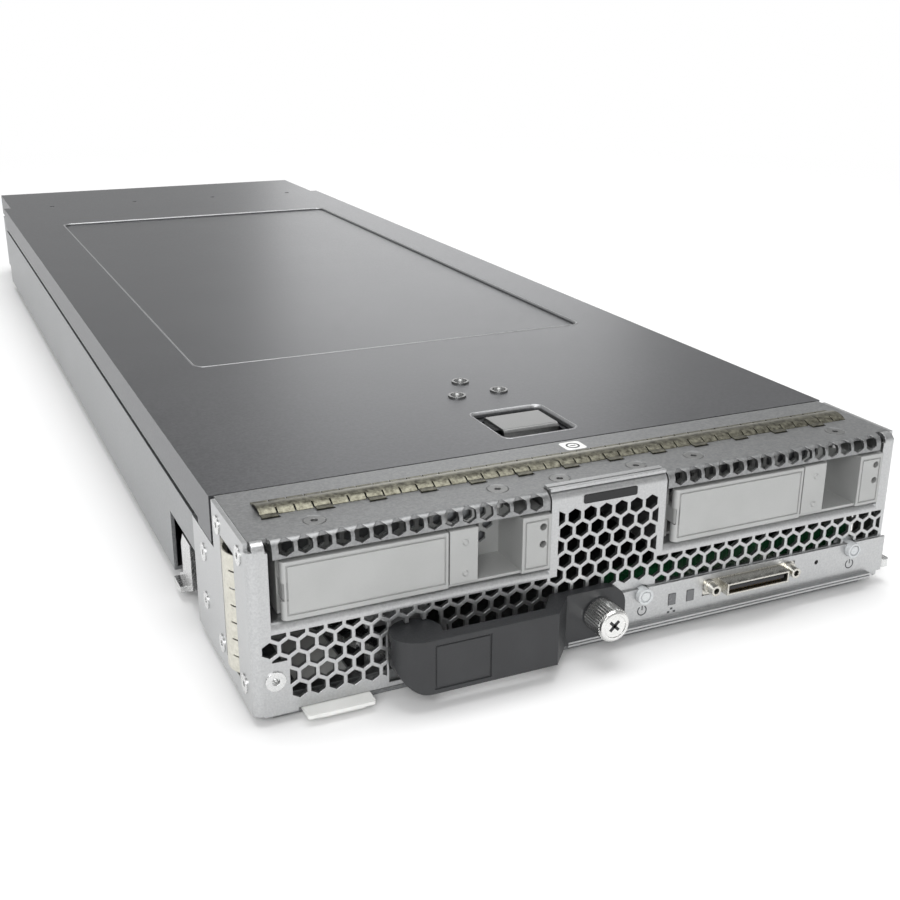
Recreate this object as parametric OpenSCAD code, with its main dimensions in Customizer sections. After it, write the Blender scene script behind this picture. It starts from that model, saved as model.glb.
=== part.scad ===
// Half-width blade server: sheet-metal tray and cover, perforated front with two drive bays,
// ejector handle with a captive thumbscrew, two processors and their memory inside.
// Millimetres. +X right, +Y back, +Z up. Origin: mid-width and mid-length of the tray's underside.

/* [Enclosure] */
// Overall width
body_w = 203; // [199:0.5:207]
// Height from the underside to the top of the cover
body_h = 50; // [49:0.25:53]
// Length from the front face to the rear edge of the cover
body_l = 603.5; // [596:0.5:620]
// Thickness of the tray's and the front panel's sheet
sheet_t = 1.2; // [1:0.1:1.5]
// Thickness of the cover's sheet
cover_t = 1; // [0.8:0.1:1.2]
// Length of the narrower rear portion
rear_l = 58.2; // [50:0.5:64]
// How much the rear portion is set in on each side
rear_inset = 4; // [3:0.25:5]
// Depth of the front section's side flanges
flange_l = 57; // [54:0.5:60]
// Front edge of the top cover
cover_y = 35.4; // [34:0.2:37]

/* [Front panel] */
// Width of the drive bay openings
bay_w = 78; // [77:0.1:79]
// Height of the drive bay openings
bay_h = 17.1; // [16.8:0.1:17.6]
// Height of the perforated strip above the bays
strip_h = 4.6; // [4.4:0.1:4.8]
// Outer radius of the panel's corner bends
bend_r = 2.5; // [2:0.25:2.8]
// Pitch of the hexagonal air holes
hex_pitch = 4.9; // [4.7:0.05:5.1]
// Width of the hexagonal air holes across their flats
hex_af = 3.9; // [3.5:0.1:4]

/* [Gasket strips] */
// Pitch of the spring fingers
finger_pitch = 4.84; // [4.6:0.02:5]
// How far the fingers bulge out
finger_rise = 1.4; // [1.1:0.1:1.6]

/* [Drive carriers] */
// Width of a carrier
carrier_w = 74.7; // [74.4:0.1:75.2]
// Height of a carrier
carrier_h = 16; // [15.8:0.1:16.3]
// Length of a carrier behind the front face
carrier_l = 108; // [106:0.5:110]
// Thickness of the drive
drive_h = 14.6; // [9.5:0.1:14.7]

/* [Ejector] */
// Height of the ejector handle
handle_h = 15.5; // [14.5:0.25:16]
// How far the handle's grip stands out of the front face
grip_y = 10.9; // [10.5:0.1:12]
// Radius of the thumbscrew's knob
knob_r = 4.9; // [4.6:0.1:5.2]
// Length of the thumbscrew's knob
knob_l = 8.9; // [8.5:0.1:10]
// Radius of the thumbscrew's shank
shank_r = 2; // [1.8:0.05:2.1]

/* [Boards] */
// Thickness of the circuit boards
board_t = 1.6; // [1.4:0.1:2]
// Height of the stand-offs under the motherboard
standoff_h = 7.3; // [6.5:0.1:8]
// Front edge of the motherboard
board_y = 122; // [120:0.5:126]
// Number of memory modules on each side of each processor
dimms_per_bank = 6; // [4:1:6]
// Height of a memory module
dimm_h = 30; // [28:0.5:31]
// Height of the heat sinks' fins
fin_h = 24; // [20:0.5:26]
// Number of fins on each heat sink
fin_count = 22; // [16:1:26]

/* [Hidden] */
$fn = 40;
half_w = body_w / 2;
org_y = body_l / 2;            // the origin lies this far behind the front face
gap = 0.3;                     // clearance between parts that only lie against each other
fit = 0.05;                    // radial clearance of a running fit
eps = 0.01;
cut = 1;                       // how far a cutter runs past a surface

// sheet-metal levels
rebate_z = 4.8;                // underside of the side walls, above the tray's pan
rebate_w = 5.5;                // how far the pan is set in from the side walls
seam_z = 36.5;                 // where the cover's flange meets the side wall
seam_gap = 1.8;                // width of that seam
seat_z = body_h - cover_t;     // the cover rests here
wall_step = sheet_t + 0.2;     // how far the wall steps in behind the cover's flange
lip_w = 7;                     // width of the tray's top lips
wide_l = body_l - rear_l;      // length of the full-width portion
panel_foot = 3.3;              // lower edge of the front panel
corner_foot = 2.4;             // lower edge of its left corner
sill_z = body_h - strip_h - bay_h;
bay_top = body_h - strip_h;
post_w = 5.3;                  // width of the panel's corner posts
bay_out = half_w - post_w;     // outer edge of a bay
bay_in = bay_out - bay_w;      // inner edge of a bay, and half the centre panel's width
bay_l = carrier_l + 4;         // depth of the drive cage

// hexagonal lattice
hex_r = hex_af / sqrt(3);
row_h = hex_pitch * sqrt(3) / 2;
lattice_x = 1.18;
row0_z = sill_z - 7.15;
field_top = sill_z - 3;
field_in = 15.9;               // half width of the centre field

// controls
control_top = 16.4;
control_x0 = 5.2;
control_t = 0.8;
button_z = 14.4;
power_x = 12;
beacon_x = 87.7;
button_r = 2.4;
button_out = 2;
light_x = [22.1, 28.4];
light_z = 10.9;
reset_x = 74.5;
reset_z = 12.4;
console_x = 49.3;
console_z = 12.5;
console_w = 22.2;
console_h = 3.6;
console_out = 5.3;
jack_dx = 14.45;
lip_x = [-12.8, 95.2];
lip_z = [4, 5.5];
lip_out = 2.5;
board_front_y = 9;             // front face of the control board

// ejector
handle_z = 5;
pivot_x = -59.3;
knuckle_r = 6.9;
pivot_y = knuckle_r - grip_y;
grip_t = 4;
grip_x1 = -21;
foot_x = [-16.2, 4.7];
foot_t = 3;
pin_r = 2;
screw_x = -4;
screw_z = 13.2;
window_x = [pivot_x - 5.9, pivot_x + 8.8];
handle_turn = 60;              // how far the handle swings out
window_z = [handle_z - 0.4, handle_z + handle_h + 0.4];
ear_t = 1.5;
ear_w = 6;
ear_z = [7, 16.6];
lever_z = 10.2;
lever_t = 2;
tail_a = 114.6;
tail_neck = 2.6;
tail_l = 82;
hook_y = [68, 80];
notch_y = [flange_l, flange_l + 32];
notch_z = 25;
screw_travel = 5;
ferrule_r = 3.4;
ring_t = 0.6;

// pull-out tag
tag_x = [-89, -70.6];
tag_z = 2.1;
tag_t = 1;
tag_out = 4.8;
tag_l = 62;

// latch
latch_x = 2.6;
latch_w = 18.8;
latch_y = [50.2, 64.6];
dish_y = [42, 70.5];
dish_w = 28;
dish_d = 2;
latch_axis_y = 67;
latch_axis_z = body_h - 4.6;
latch_hook_y = 44;             // front of the latch's hooks
keeper_y = latch_hook_y + 1.4;

// carriers
carrier_x = [-bay_in - gap - carrier_w, bay_out - gap - carrier_w];
carrier_z = sill_z + gap;
carrier_face = -0.6;
lever_w = 44.6;
release_w = 8;
block_w = 8.6;
carrier_t = 1;
lever_t2 = 3.2;                // thickness of a carrier's lever
lever_r = lever_t2 / 2;        // its rounded hinge end, round the pin
lever_turn = 80;
release_step = 1.8;            // travel of the release piece
drive_w = 69.8;
drive_l = 100.4;

// boards
mb_z = sheet_t + standoff_h;
mb_top = mb_z + board_t;
mb_w = body_w - 2 * rebate_w - 8;
mb_y1 = body_l - 12;
cpu_y = [body_l * 0 + 222, 384];
dimm_l = 133.4;
dimm_pitch = 7.6;
dimm_seat = 7;
sink_w = 86;
sink_l = 100;
base_t = 4;
tray_front = 3;

// ---------- helpers ----------
module block(x, y, z) {
    translate([x[0], y[0], z[0]]) cube([x[1] - x[0], y[1] - y[0], z[1] - z[0]]);
}
module rod_x(r, x, y, z) { translate([x[0], y, z]) rotate([0, 90, 0]) cylinder(r = r, h = x[1] - x[0]); }
module rod_y(r, x, y, z) { translate([x, y[0], z]) rotate([-90, 0, 0]) cylinder(r = r, h = y[1] - y[0]); }
module rod_z(r, x, y, z) { translate([x, y, z[0]]) cylinder(r = r, h = z[1] - z[0]); }
// an outline drawn in x and z, extruded along y
module along_y(y) {
    translate([0, y[1], 0]) rotate([90, 0, 0]) linear_extrude(y[1] - y[0]) children();
}
// an outline drawn in y and z, extruded along x
module along_x(x) {
    translate([x[0], 0, 0]) rotate([90, 0, 90]) linear_extrude(x[1] - x[0]) children();
}
module along_z(z) { translate([0, 0, z[0]]) linear_extrude(z[1] - z[0]) children(); }
module rect(x, y) { translate([x[0], y[0]]) square([x[1] - x[0], y[1] - y[0]]); }
module round_rect(x, y, r) {
    rect([x[0] + r, x[1] - r], y);
    rect(x, [y[0] + r, y[1] - r]);
    for (cx = [x[0] + r, x[1] - r], cy = [y[0] + r, y[1] - r]) translate([cx, cy]) circle(r);
}
// a ring quarter for a sheet bend: outer radius r, from angle a over 90 degrees
module bend(r, t, a) {
    rotate(a) intersection() {
        difference() { circle(r); circle(r - t); }
        square(r);
    }
}
module hexagon() { rotate(30) circle(hex_r, $fn = 6); }

// ---------- hexagonal air holes ----------
function row_x(n, i) = lattice_x + hex_pitch * (i + (n % 2 == 0 ? 0 : 0.5));
module hex_field(rows, x, z) {
    intersection() {
        rect(x, z);
        for (n = rows, i = [-20 : 20]) if (row_x(n, i) > x[0] - hex_r && row_x(n, i) < x[1] + hex_r)
            translate([row_x(n, i), row0_z + n * row_h]) hexagon();
    }
}

// ---------- tray ----------
// the tray's section, taken in by i on every side
module tray_section(i, w, up) {
    rebate = w - rebate_w;
    rect([-w + i, w - i], [rebate_z + i, seam_z - i]);
    rect([-w + wall_step + i, w - wall_step - i], [seam_z - 2 * sheet_t, up]);
    rect([-rebate + i, rebate - i], [i, seam_z / 2]);
}
module tray_ring(w) {
    difference() {
        tray_section(0, w, seat_z);
        difference() {
            tray_section(sheet_t, w, seat_z + cut);
            for (s = [-1, 1]) scale([s, 1]) rect([w - wall_step - lip_w, w], [seat_z - sheet_t, body_h + cut]);
        }
    }
}
module front_ring() {
    w = half_w - sheet_t;
    difference() {
        union() {
            rect([-w, w], [rebate_z, seat_z - gap]);
            rect([-half_w + rebate_w, half_w - rebate_w], [0, seam_z / 2]);
        }
        rect([-w + sheet_t, w - sheet_t], [rebate_z + sheet_t, body_h + cut]);
        rect([-half_w + rebate_w + sheet_t, half_w - rebate_w - sheet_t], [sheet_t, seam_z]);
    }
}
module base_tray() color("#a9abac") {
    step = cover_t + 0.4;
    difference() {
        union() {
            along_y([tray_front, flange_l + eps]) front_ring();
            along_y([flange_l, wide_l]) tray_ring(half_w);
            along_y([wide_l - step - eps, body_l - 0.5]) tray_ring(half_w - rear_inset);
            // plates that close the change of width
            along_y([wide_l - sheet_t, wide_l]) tray_step(rebate_z, seam_z);
            along_y([wide_l - step - sheet_t, wide_l - step]) tray_step(seam_z - 2 * sheet_t, seat_z);
        }
        // above the seam the wide walls end short of the cover's step
        block([-half_w - cut, -half_w + rear_inset + wall_step], [wide_l - step, wide_l + cut], [seam_z, body_h]);
        block([half_w - rear_inset - wall_step, half_w + cut], [wide_l - step, wide_l + cut], [seam_z, body_h]);
        // notch for the ejector's hook, in the left wall
        block([-half_w - cut, -half_w + rebate_w + 2.5], notch_y, [sheet_t, notch_z]);
        // windows behind the side gasket strips
        for (s = [-1, 1]) scale([s, 1, 1])
            block([half_w - 2 * sheet_t - cut, half_w], [side_strip_y[0] - 2.5, side_strip_y[1] + 2], side_strip_z);
    }
    // stiffening rail across the front, under the left bay, slotted for the tag
    difference() {
        along_x([-91.5, -28]) union() {
            rect([tray_front + 0.4, rail_y], [rail_z - sheet_t, rail_z]);
            rect([rail_y - sheet_t, rail_y], [sheet_t - eps, rail_z]);
        }
        block([tag_x[0] - gap, tag_x[1] + gap], [0, rail_y + cut], [tag_z - gap, tag_z + tag_t + gap]);
    }
    // folded guides that hold the tag down
    for (x = [[tag_x[0] - gap - sheet_t, tag_x[0] - gap], [tag_x[1] + gap, tag_x[1] + gap + sheet_t]]) {
        block(x, [12, 34], [sheet_t - eps, tag_z + tag_t + gap + eps]);
        block([x[0] - (x[0] > tag_x[0] ? 2 : 0), x[1] + (x[0] > tag_x[0] ? 0 : 2)], [12, 34],
            [tag_z + tag_t + gap, tag_z + tag_t + gap + 0.8]);
    }
    // board stand-off bosses pressed into the pan
    for (p = standoff_spots) rod_z(4, p[0], p[1], [sheet_t - eps, sheet_t + 0.6]);
}
module tray_step(z0, z1) {
    for (s = [-1, 1]) scale([s, 1]) intersection() {
        tray_section(0, half_w, seat_z);
        rect([half_w - rear_inset - wall_step - sheet_t, half_w], [z0, z1]);
    }
}
rail_y = 6.6;                  // rear face of the tray's front rail
rail_z = 6.2;
side_strip_y = [12.6, 25.6];
side_strip_z = [8, 8 + 7 * finger_pitch + 1.2];
standoff_spots = [for (x = [-mb_w / 2 + 9, 0, mb_w / 2 - 9], y = [board_y + 5, 303, 462, mb_y1 - 20.5]) [x, y]];

// ---------- front panel ----------
module front_face() {
    difference() {
        union() {
            rect([-half_w + bend_r, half_w - bend_r], [panel_foot, sill_z - bend_r]);
            rect([-half_w + bend_r, -90], [corner_foot, panel_foot + eps]);
            rect([-bay_in, bay_in], [panel_foot, body_h - bend_r]);
            for (s = [-1, 1]) scale([s, 1])
                rect([bay_out, half_w - bend_r], [panel_foot, body_h - bend_r]);
        }
        hex_field([0, 1], [-98.8, -field_in], [panel_foot, field_top]);
        hex_field([0, 1], [field_in, 98.8], [panel_foot, field_top]);
        hex_field([0 : 5], [-field_in, field_in], [panel_foot, bay_top - 0.4]);
        hex_field([-1], [-98, -91.9], [row0_z - row_h + 0.6, sill_z]);
        hex_field([-3 : -1], [-91.9, window_x[0] - 0.6], [panel_foot, sill_z]);
        hex_field([-3 : -1], [window_x[1] + 1.6, grip_x1 + 2], [panel_foot, sill_z]);
        hex_field([-1], [field_in, 98.8], [control_top + 0.2, sill_z]);
        rect(window_x, window_z);
        // openings behind the control plate
        for (x = [power_x, beacon_x]) translate([x, button_z]) circle(button_r + 0.4);
        for (x = light_x) rect([x - 1.5, x + 1.5], [light_z - 2.1, light_z + 2.1]);
        translate([reset_x, reset_z]) circle(1.2);
        rect([console_x - jack_dx - 2.4, console_x + jack_dx + 2.4], [console_z - 2.9, console_z + 2.9]);
        translate([-95.7, 12.3]) circle(1.6);
        translate([screw_x, screw_z]) circle(shank_r + 0.2);
    }
}
module side_flange() {
    difference() {
        union() {
            rect([bend_r, cover_y - 2.4], [corner_foot + 0.4, body_h]);
            rect([bend_r, flange_l], [corner_foot + 0.4, seam_z - 0.3]);
        }
        rect(side_strip_y, side_strip_z);
        for (p = rivet_spots) translate(p) circle(1.2);
    }
}
rivet_spots = [[7.6, 44.8], [7.9, 8.9], [27.8, 44.8], [29.6, 9.4], [45.3, 29.7], [45.6, 14.8]];
module front_panel() color("#bcbdbe") {
    along_y([0, sheet_t]) front_face();
    // corner bends and side flanges
    for (s = [-1, 1]) scale([s, 1, 1]) {
        along_z([corner_foot + 0.4, body_h - 2]) translate([half_w - bend_r, bend_r]) bend(bend_r, sheet_t, -90);
        along_x([half_w - sheet_t, half_w]) side_flange();
        // small tab that closes the top of the corner post
        along_x([bay_out + 0.6, half_w - 1.6]) translate([bend_r, body_h - bend_r]) {
            bend(bend_r, sheet_t, 90);
            rect([-eps, 0.6], [bend_r - sheet_t, bend_r]);
        }
    }
    // rolled sills of the bays
    for (s = [-1, 1]) along_x(s < 0 ? [-bay_out, -bay_in] : [bay_in, bay_out]) {
        translate([bend_r, sill_z - bend_r]) bend(bend_r, sheet_t, 90);
        rect([bend_r - eps, 9], [sill_z - sheet_t, sill_z]);
    }
    // rolled top of the centre panel, with the groove of its hem
    along_x([-bay_in, bay_in]) difference() {
        union() {
            translate([bend_r, body_h - bend_r]) bend(bend_r, sheet_t, 90);
            rect([bend_r - eps, 4.6], [body_h - sheet_t, body_h]);
            rect([0.9, 4.6], [body_h - eps, body_h + 0.9]);
        }
        rect([2, 2.7], [body_h + 0.4, body_h + cut]);
    }
    // pierced boss for the thumbscrew
    difference() {
        rod_y(4, screw_x, [sheet_t - eps, 3], screw_z);
        rod_y(shank_r + 0.2, screw_x, [0, 4], screw_z);
    }
}

// ---------- top panel, with the perforated strips ----------
module top_panel() color("#bcbdbe") {
    w = half_w - sheet_t - 0.1;
    difference() {
        union() {
            along_z([body_h - sheet_t, body_h]) difference() {
                rect([-w, w], [bend_r, cover_y - 0.6]);
                rect([-bay_in - 0.3, bay_in + 0.3], [0, 4.9]);
                for (s = [-1, 1]) scale([s, 1]) rect([bay_out - 0.9, half_w], [0, 3.4]);
            }
            for (x = [[-bay_out + 1.2, -bay_in - 0.5], [bay_in + 0.5, bay_out - 1.2]]) along_x(x) {
                translate([bend_r, body_h - bend_r]) bend(bend_r, sheet_t, 90);
                rect([0, sheet_t], [bay_top, body_h - bend_r + eps]);
            }
        }
        // hexagonal holes that run into the bend
        for (s = [-1, 1], i = [0 : 14]) translate([s * (bay_in + 4.6) + s * i * hex_pitch, 0, 0])
            along_y([-cut, 2.2]) translate([0, body_h - 2]) hexagon();
        // slots for the gasket strip's hooks
        for (i = [0 : 3 : finger_count_top - 1])
            block([hook_x(i) - 0.2, hook_x(i) + finger_pitch], [gasket_y[0] - 2, gasket_y[0] - 1],
                [body_h - sheet_t - cut, body_h + cut]);
        for (x = top_screw_x) rod_z(1.6, x, 9.2, [body_h - 3, body_h + cut]);
        for (x = top_screw_x) translate([x, 9.2, body_h - 0.7]) cylinder(r1 = 1.6, r2 = 3.2, h = 0.71);
    }
}
top_screw_x = [-81.2, -29.8, -10.8, 13.7, 33.2, 85];
gasket_y = [16.4, 25];
finger_count_top = 39;
function hook_x(i) = -finger_count_top * finger_pitch / 2 + 1.4 + i * finger_pitch;

// one arched gasket strip along x, from the origin: n fingers, w wide, slotted from both edges
module gasket_strip(n, w, rise) {
    r = (w * w / 4 + rise * rise) / (2 * rise);
    t = 0.35;
    slot = 0.4;
    difference() {
        union() {
            along_x([0, n * finger_pitch - slot]) intersection() {
                translate([w / 2, rise - r]) difference() { circle(r, $fn = 96); circle(r - t, $fn = 96); }
                rect([0, w], [0, rise + cut]);
            }
            for (i = [0 : 3 : n - 1]) block([i * finger_pitch, (i + 1) * finger_pitch - slot], [-1.6, 0.5], [0, t]);
            block([0, n * finger_pitch - slot], [w - 0.6, w + 0.8], [0, t]);
        }
        for (i = [1 : n - 1]) {
            block([i * finger_pitch - slot, i * finger_pitch], [-2, w * 0.27], [-cut, rise + cut]);
            block([i * finger_pitch - slot, i * finger_pitch], [w * 0.73, w + cut], [-cut, rise + cut]);
        }
    }
}
module gasket_strip_top() color("#a8a59a")
    translate([hook_x(0), gasket_y[0], body_h])
        gasket_strip(finger_count_top, gasket_y[1] - gasket_y[0], finger_rise);
module gasket_strips_side() color("#dcd8c8")
    for (s = [-1, 1]) scale([s, 1, 1])
        translate([half_w - sheet_t - 0.4, side_strip_y[0] + 0.3, side_strip_z[0] + 0.3]) rotate([0, -90, 0])
            mirror([0, 0, 1])
            gasket_strip(7, side_strip_y[1] - side_strip_y[0] - 0.6, finger_rise + sheet_t + 0.1);
module top_screws() color("#c8c8c6")
    for (x = top_screw_x) difference() {
        union() {
            translate([x, 9.2, body_h - 0.7]) cylinder(r1 = 1.5, r2 = 2.95, h = 0.65);
            rod_z(1.5, x, 9.2, [body_h - 5, body_h - 0.65]);
        }
        rod_z(0.9, x, 9.2, [body_h - 0.8, body_h + cut]);
    }
module side_rivets() color("#9b9d9e")
    for (s = [-1, 1]) scale([s, 1, 1]) for (p = rivet_spots) difference() {
        union() {
            rod_x(2.6, [half_w, half_w + 0.35], p[0], p[1]);
            rod_x(1.15, [half_w - sheet_t, half_w + 0.1], p[0], p[1]);
        }
        rod_x(0.8, [half_w - 0.5, half_w + cut], p[0], p[1]);
    }
module panel_stud() color("#e2e2e0")
    difference() {
        union() {
            rod_y(2.7, -95.7, [-0.4, 0], 12.3);
            rod_y(1.55, -95.7, [-0.1, 3], 12.3);
        }
        rod_y(1, -95.7, [-cut, 2], 12.3);
    }
module corner_guide() color("#202124")
    along_z([5.2, 7.8]) round_rect([half_w, half_w + 3.2], [-0.4, 4.9], 1.2);
// ---------- control area ----------
module control_plate() color("#c3c4c5") {
    difference() {
        along_y([-control_t, 0]) difference() {
            rect([control_x0, half_w - 0.6], [lip_z[1] - 0.6, control_top]);
            for (x = [power_x, beacon_x]) translate([x, button_z]) circle(button_r + fit);
            for (x = light_x) rect([x - 1.2 - fit, x + 1.2 + fit], [light_z - 1.75 - fit, light_z + 1.75 + fit]);
            translate([reset_x, reset_z]) circle(0.7);
            rect([console_x - jack_dx - 2.2, console_x + jack_dx + 2.2], [console_z - 2.8, console_z + 2.2]);
        }
    }
    // hemmed lip along the lower edge: two layers with a dark joint between them
    along_x(lip_x) {
        rect([-lip_out, -0.05], [lip_z[1] - 0.6, lip_z[1]]);
        rect([-lip_out, -0.05], [lip_z[0], lip_z[0] + 0.6]);
        rect([-lip_out + 0.6, -0.05], [lip_z[0] + 0.5, lip_z[1] - 0.5]);
    }
}
module push_button(x) {
    rod_y(button_r, x, [-button_out, 3.4], button_z);
    rod_y(3.2, x, [2.4, 3.6], button_z);
    rod_y(1, x, [3.5, board_front_y - 3.1], button_z);
    // lens with its ring
    difference() {
        rod_y(button_r, x, [-button_out - 0.5, -button_out + eps], button_z);
        rod_y(1.7, x, [-button_out - cut, -button_out], button_z);
    }
    rod_y(1.35, x, [-button_out - 0.35, -button_out + eps], button_z);
}
module power_button() color("#d9dcdd") push_button(power_x);
module beacon_button() color("#d9dcdd") push_button(beacon_x);
module reset_plunger() color("#3a3a3a") {
    rod_y(0.6, reset_x, [0.2, board_front_y - 3.1], reset_z);
    rod_y(1.4, reset_x, [2.4, 3.2], reset_z);
}
module status_lights() color("#6d7072")
    for (x = light_x) block([x - 1.2, x + 1.2], [-control_t - 0.2, board_front_y], [light_z - 1.75, light_z + 1.75]);
module console_shell() color("#cfc8b4") {
    difference() {
        union() {
            block([console_x - console_w / 2, console_x + console_w / 2], [-console_out, board_front_y],
                [console_z - console_h / 2, console_z + console_h / 2]);
            along_y([-control_t + 0.1, sheet_t]) round_rect([console_x - jack_dx - 2.1, console_x + jack_dx + 2.1],
                [console_z - 2.7, console_z + 2.1], 0.8);
        }
        block([console_x - console_w / 2 + 0.5, console_x + console_w / 2 - 0.5], [-console_out - cut, 6],
            [console_z - console_h / 2 + 0.5, console_z + console_h / 2 - 0.5]);
        for (s = [-1, 1]) rod_y(1.65, console_x + s * jack_dx, [-cut, 3], console_z);
    }
}
module console_insert() color("#1c1c1e") {
    w = console_w - 2.6;
    block([console_x - console_w / 2 + 0.55, console_x + console_w / 2 - 0.55], [4, 5.95],
        [console_z - console_h / 2 + 0.55, console_z + console_h / 2 - 0.55]);
    block([console_x - w / 2, console_x + w / 2], [-console_out + 0.8, 4 + eps], [console_z - 0.6, console_z + 0.6]);
    for (s = [-1, 1], i = [0 : 17]) translate([console_x - w / 2 + 1 + i * (w - 2) / 17, 0, console_z + s * 0.68])
        block([-0.2, 0.2], [-console_out + 1.1, 4], [-0.12, 0.12]);
}
module jack_screws() color("#d8d2c0")
    for (s = [-1, 1]) difference() {
        union() {
            rod_y(1.6, console_x + s * jack_dx, [-4.6, board_front_y], console_z);
            rod_y(2.1, console_x + s * jack_dx, [-1.8, -control_t + 0.05], console_z);
        }
        rod_y(0.9, console_x + s * jack_dx, [-5.6, 1.4], console_z);
    }
module control_board() color("#2c6b45") {
    y0 = board_front_y;
    along_y([y0, y0 + board_t]) rect([power_x - 7, half_w - rebate_w - sheet_t - gap], [3.4, 18.4]);
    for (p = [[power_x, button_z], [beacon_x, button_z], [reset_x, reset_z]])
        block([p[0] - 2.6, p[0] + 2.6], [y0 - 1.9, y0 + eps], [p[1] - 2.6, p[1] + 2.6]);
    block([30, 60], [y0 + board_t - eps, y0 + board_t + 4], [5, 10]);
}

// ---------- ejector ----------
// the room that a fixed arm of half width w and length l needs round a pivot, in the piece that turns by a
module swept_slot(w, l, a) {
    circle(w);
    rect([-w, w], [0, l]);
    rotate(a) rect([-w, w], [0, l]);
    polygon([[0, 0], for (k = [0 : 4]) [l * cos(90 + k * a / 4), l * sin(90 + k * a / 4)]]);
}
module ejector_handle() color("#2b2c2f") {
    z = [handle_z, handle_z + handle_h];
    difference() {
        union() {
            // grip, bowed out from the panel, with its rounded knuckle at the left end
            difference() {
                along_z(z) {
                    translate([pivot_x, pivot_y]) circle(knuckle_r, $fn = 72);
                    rect([pivot_x, grip_x1], [-grip_y, -grip_y + grip_t]);
                    // web back to the foot
                    polygon([[grip_x1 - 5, -grip_y], [grip_x1, -grip_y], [foot_x[0] + 2, -foot_t],
                        [foot_x[0] + 2, -0.3], [foot_x[0] - 2, -0.3]]);
                }
                // lower left end rounded off towards the knuckle
                along_y([-grip_y - cut, knuckle_r]) difference() {
                    rect([pivot_x - knuckle_r - cut, pivot_x - knuckle_r + 9], [z[0] - cut, z[0] + 9]);
                    translate([pivot_x - knuckle_r + 9, z[0] + 9]) circle(9, $fn = 72);
                }
                // plain recess for a plate
                along_y([-grip_y - cut, -grip_y + 0.35]) rect([-56.9, -40.8], [z[0] + 1.2, z[0] + 14]);
            }
            // foot, flat on the panel, with a rounded upper corner
            along_y([-foot_t, -0.3]) difference() {
                union() {
                    rect([foot_x[0], foot_x[1] - 6], z);
                    rect([foot_x[0], foot_x[1]], [z[0], z[1] - 6]);
                    translate([foot_x[1] - 6, z[1] - 6]) circle(6, $fn = 64);
                }
                rect([lip_x[0] - gap, foot_x[1] + cut], [z[0] - cut, lip_z[1] + gap]);
            }
            // plate in the recess
            along_y([-grip_y + 0.1, -grip_y + 0.36]) rect([-56.4, -41.3], [z[0] + 1.7, z[0] + 13.5]);
        }
        rod_z(pin_r + fit, pivot_x, pivot_y, [z[0] + 1.4, z[1] - 1.4]);
        rod_y(ferrule_r + 0.02, screw_x, [-foot_t - cut, cut], screw_z);
        // slots in which the fixed ears turn
        for (h = ear_z) translate([pivot_x, pivot_y, h - gap]) linear_extrude(ear_t + 2 * gap)
            swept_slot(ear_w / 2 + gap, 10, handle_turn);
        // slot for the lever
        translate([pivot_x, pivot_y, lever_z]) linear_extrude(lever_t) {
            circle(4.4);
            rect([-3.9, 22], [-4.4, -3.1]);
            rotate(tail_a) rect([0, 10], [-tail_neck, tail_neck]);
        }
    }
}
module ejector_lever() color("#c9cacb") {
    difference() {
        union() {
            translate([pivot_x, pivot_y, lever_z]) linear_extrude(lever_t) {
                circle(4.4);
                rect([-3.9, 22], [-4.4, -3.1]);
                rotate(tail_a) rect([0, 20], [-tail_neck, tail_neck]);
                rotate(tail_a) rect([18, tail_l], [-4, 4]);
                rotate(tail_a) translate([tail_l, 0]) circle(4);
            }
            block([-half_w + 1.4, -half_w + 12], hook_y, [lever_z, lever_z + lever_t]);
            // hook that shows in the notch of the left wall
            along_x([-half_w + 0.8, -half_w + 2.4]) polygon([[68, 22], [77, 22], [80, 18], [80, 8], [85.5, 5.6],
                [85.5, 3], [79, 1.6], [68, 7]]);
            block([-half_w - 1.2, -half_w + 2], [76, 84.5], [3.2, 5]);
        }
        rod_z(pin_r + fit, pivot_x, pivot_y, [lever_z - cut, lever_z + lever_t + cut]);
    }
}
module ejector_pin() color("#b9babb")
    rod_z(pin_r, pivot_x, pivot_y, [handle_z + 1.6, handle_z + handle_h - 1.6]);
module ejector_brackets() color("#b4b6b7") {
    web_y = [8.8, 8.8 + ear_t];
    for (h = ear_z) difference() {
        union() {
            along_z([h, h + ear_t]) {
                translate([pivot_x, pivot_y]) circle(ear_w / 2);
                rect([pivot_x - ear_w / 2, pivot_x + ear_w / 2], [pivot_y, web_y[1]]);
            }
            block([pivot_x - 9, pivot_x + 9], web_y, h == ear_z[0] ? [sheet_t, h + ear_t] : [h, cage_z]);
        }
        rod_z(pin_r, pivot_x, pivot_y, [h - cut, h + ear_t + cut]);
    }
}
module screw_ferrule() color("#9fa0a0")
    difference() {
        rod_y(ferrule_r, screw_x, [-foot_t - 5, -0.4], screw_z);
        rod_y(ferrule_r - 0.5, screw_x, [-foot_t - 4, cut], screw_z);
        rod_y(shank_r + 0.1, screw_x, [-foot_t - 5 - cut, -foot_t], screw_z);
    }
module retaining_ring() color("#8d8d8d")
    difference() {
        rod_y(ferrule_r - 0.6, screw_x, [-1.4, -1.4 + ring_t], screw_z);
        rod_y(shank_r - 0.4 + fit, screw_x, [-3, 1], screw_z);
    }
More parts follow.
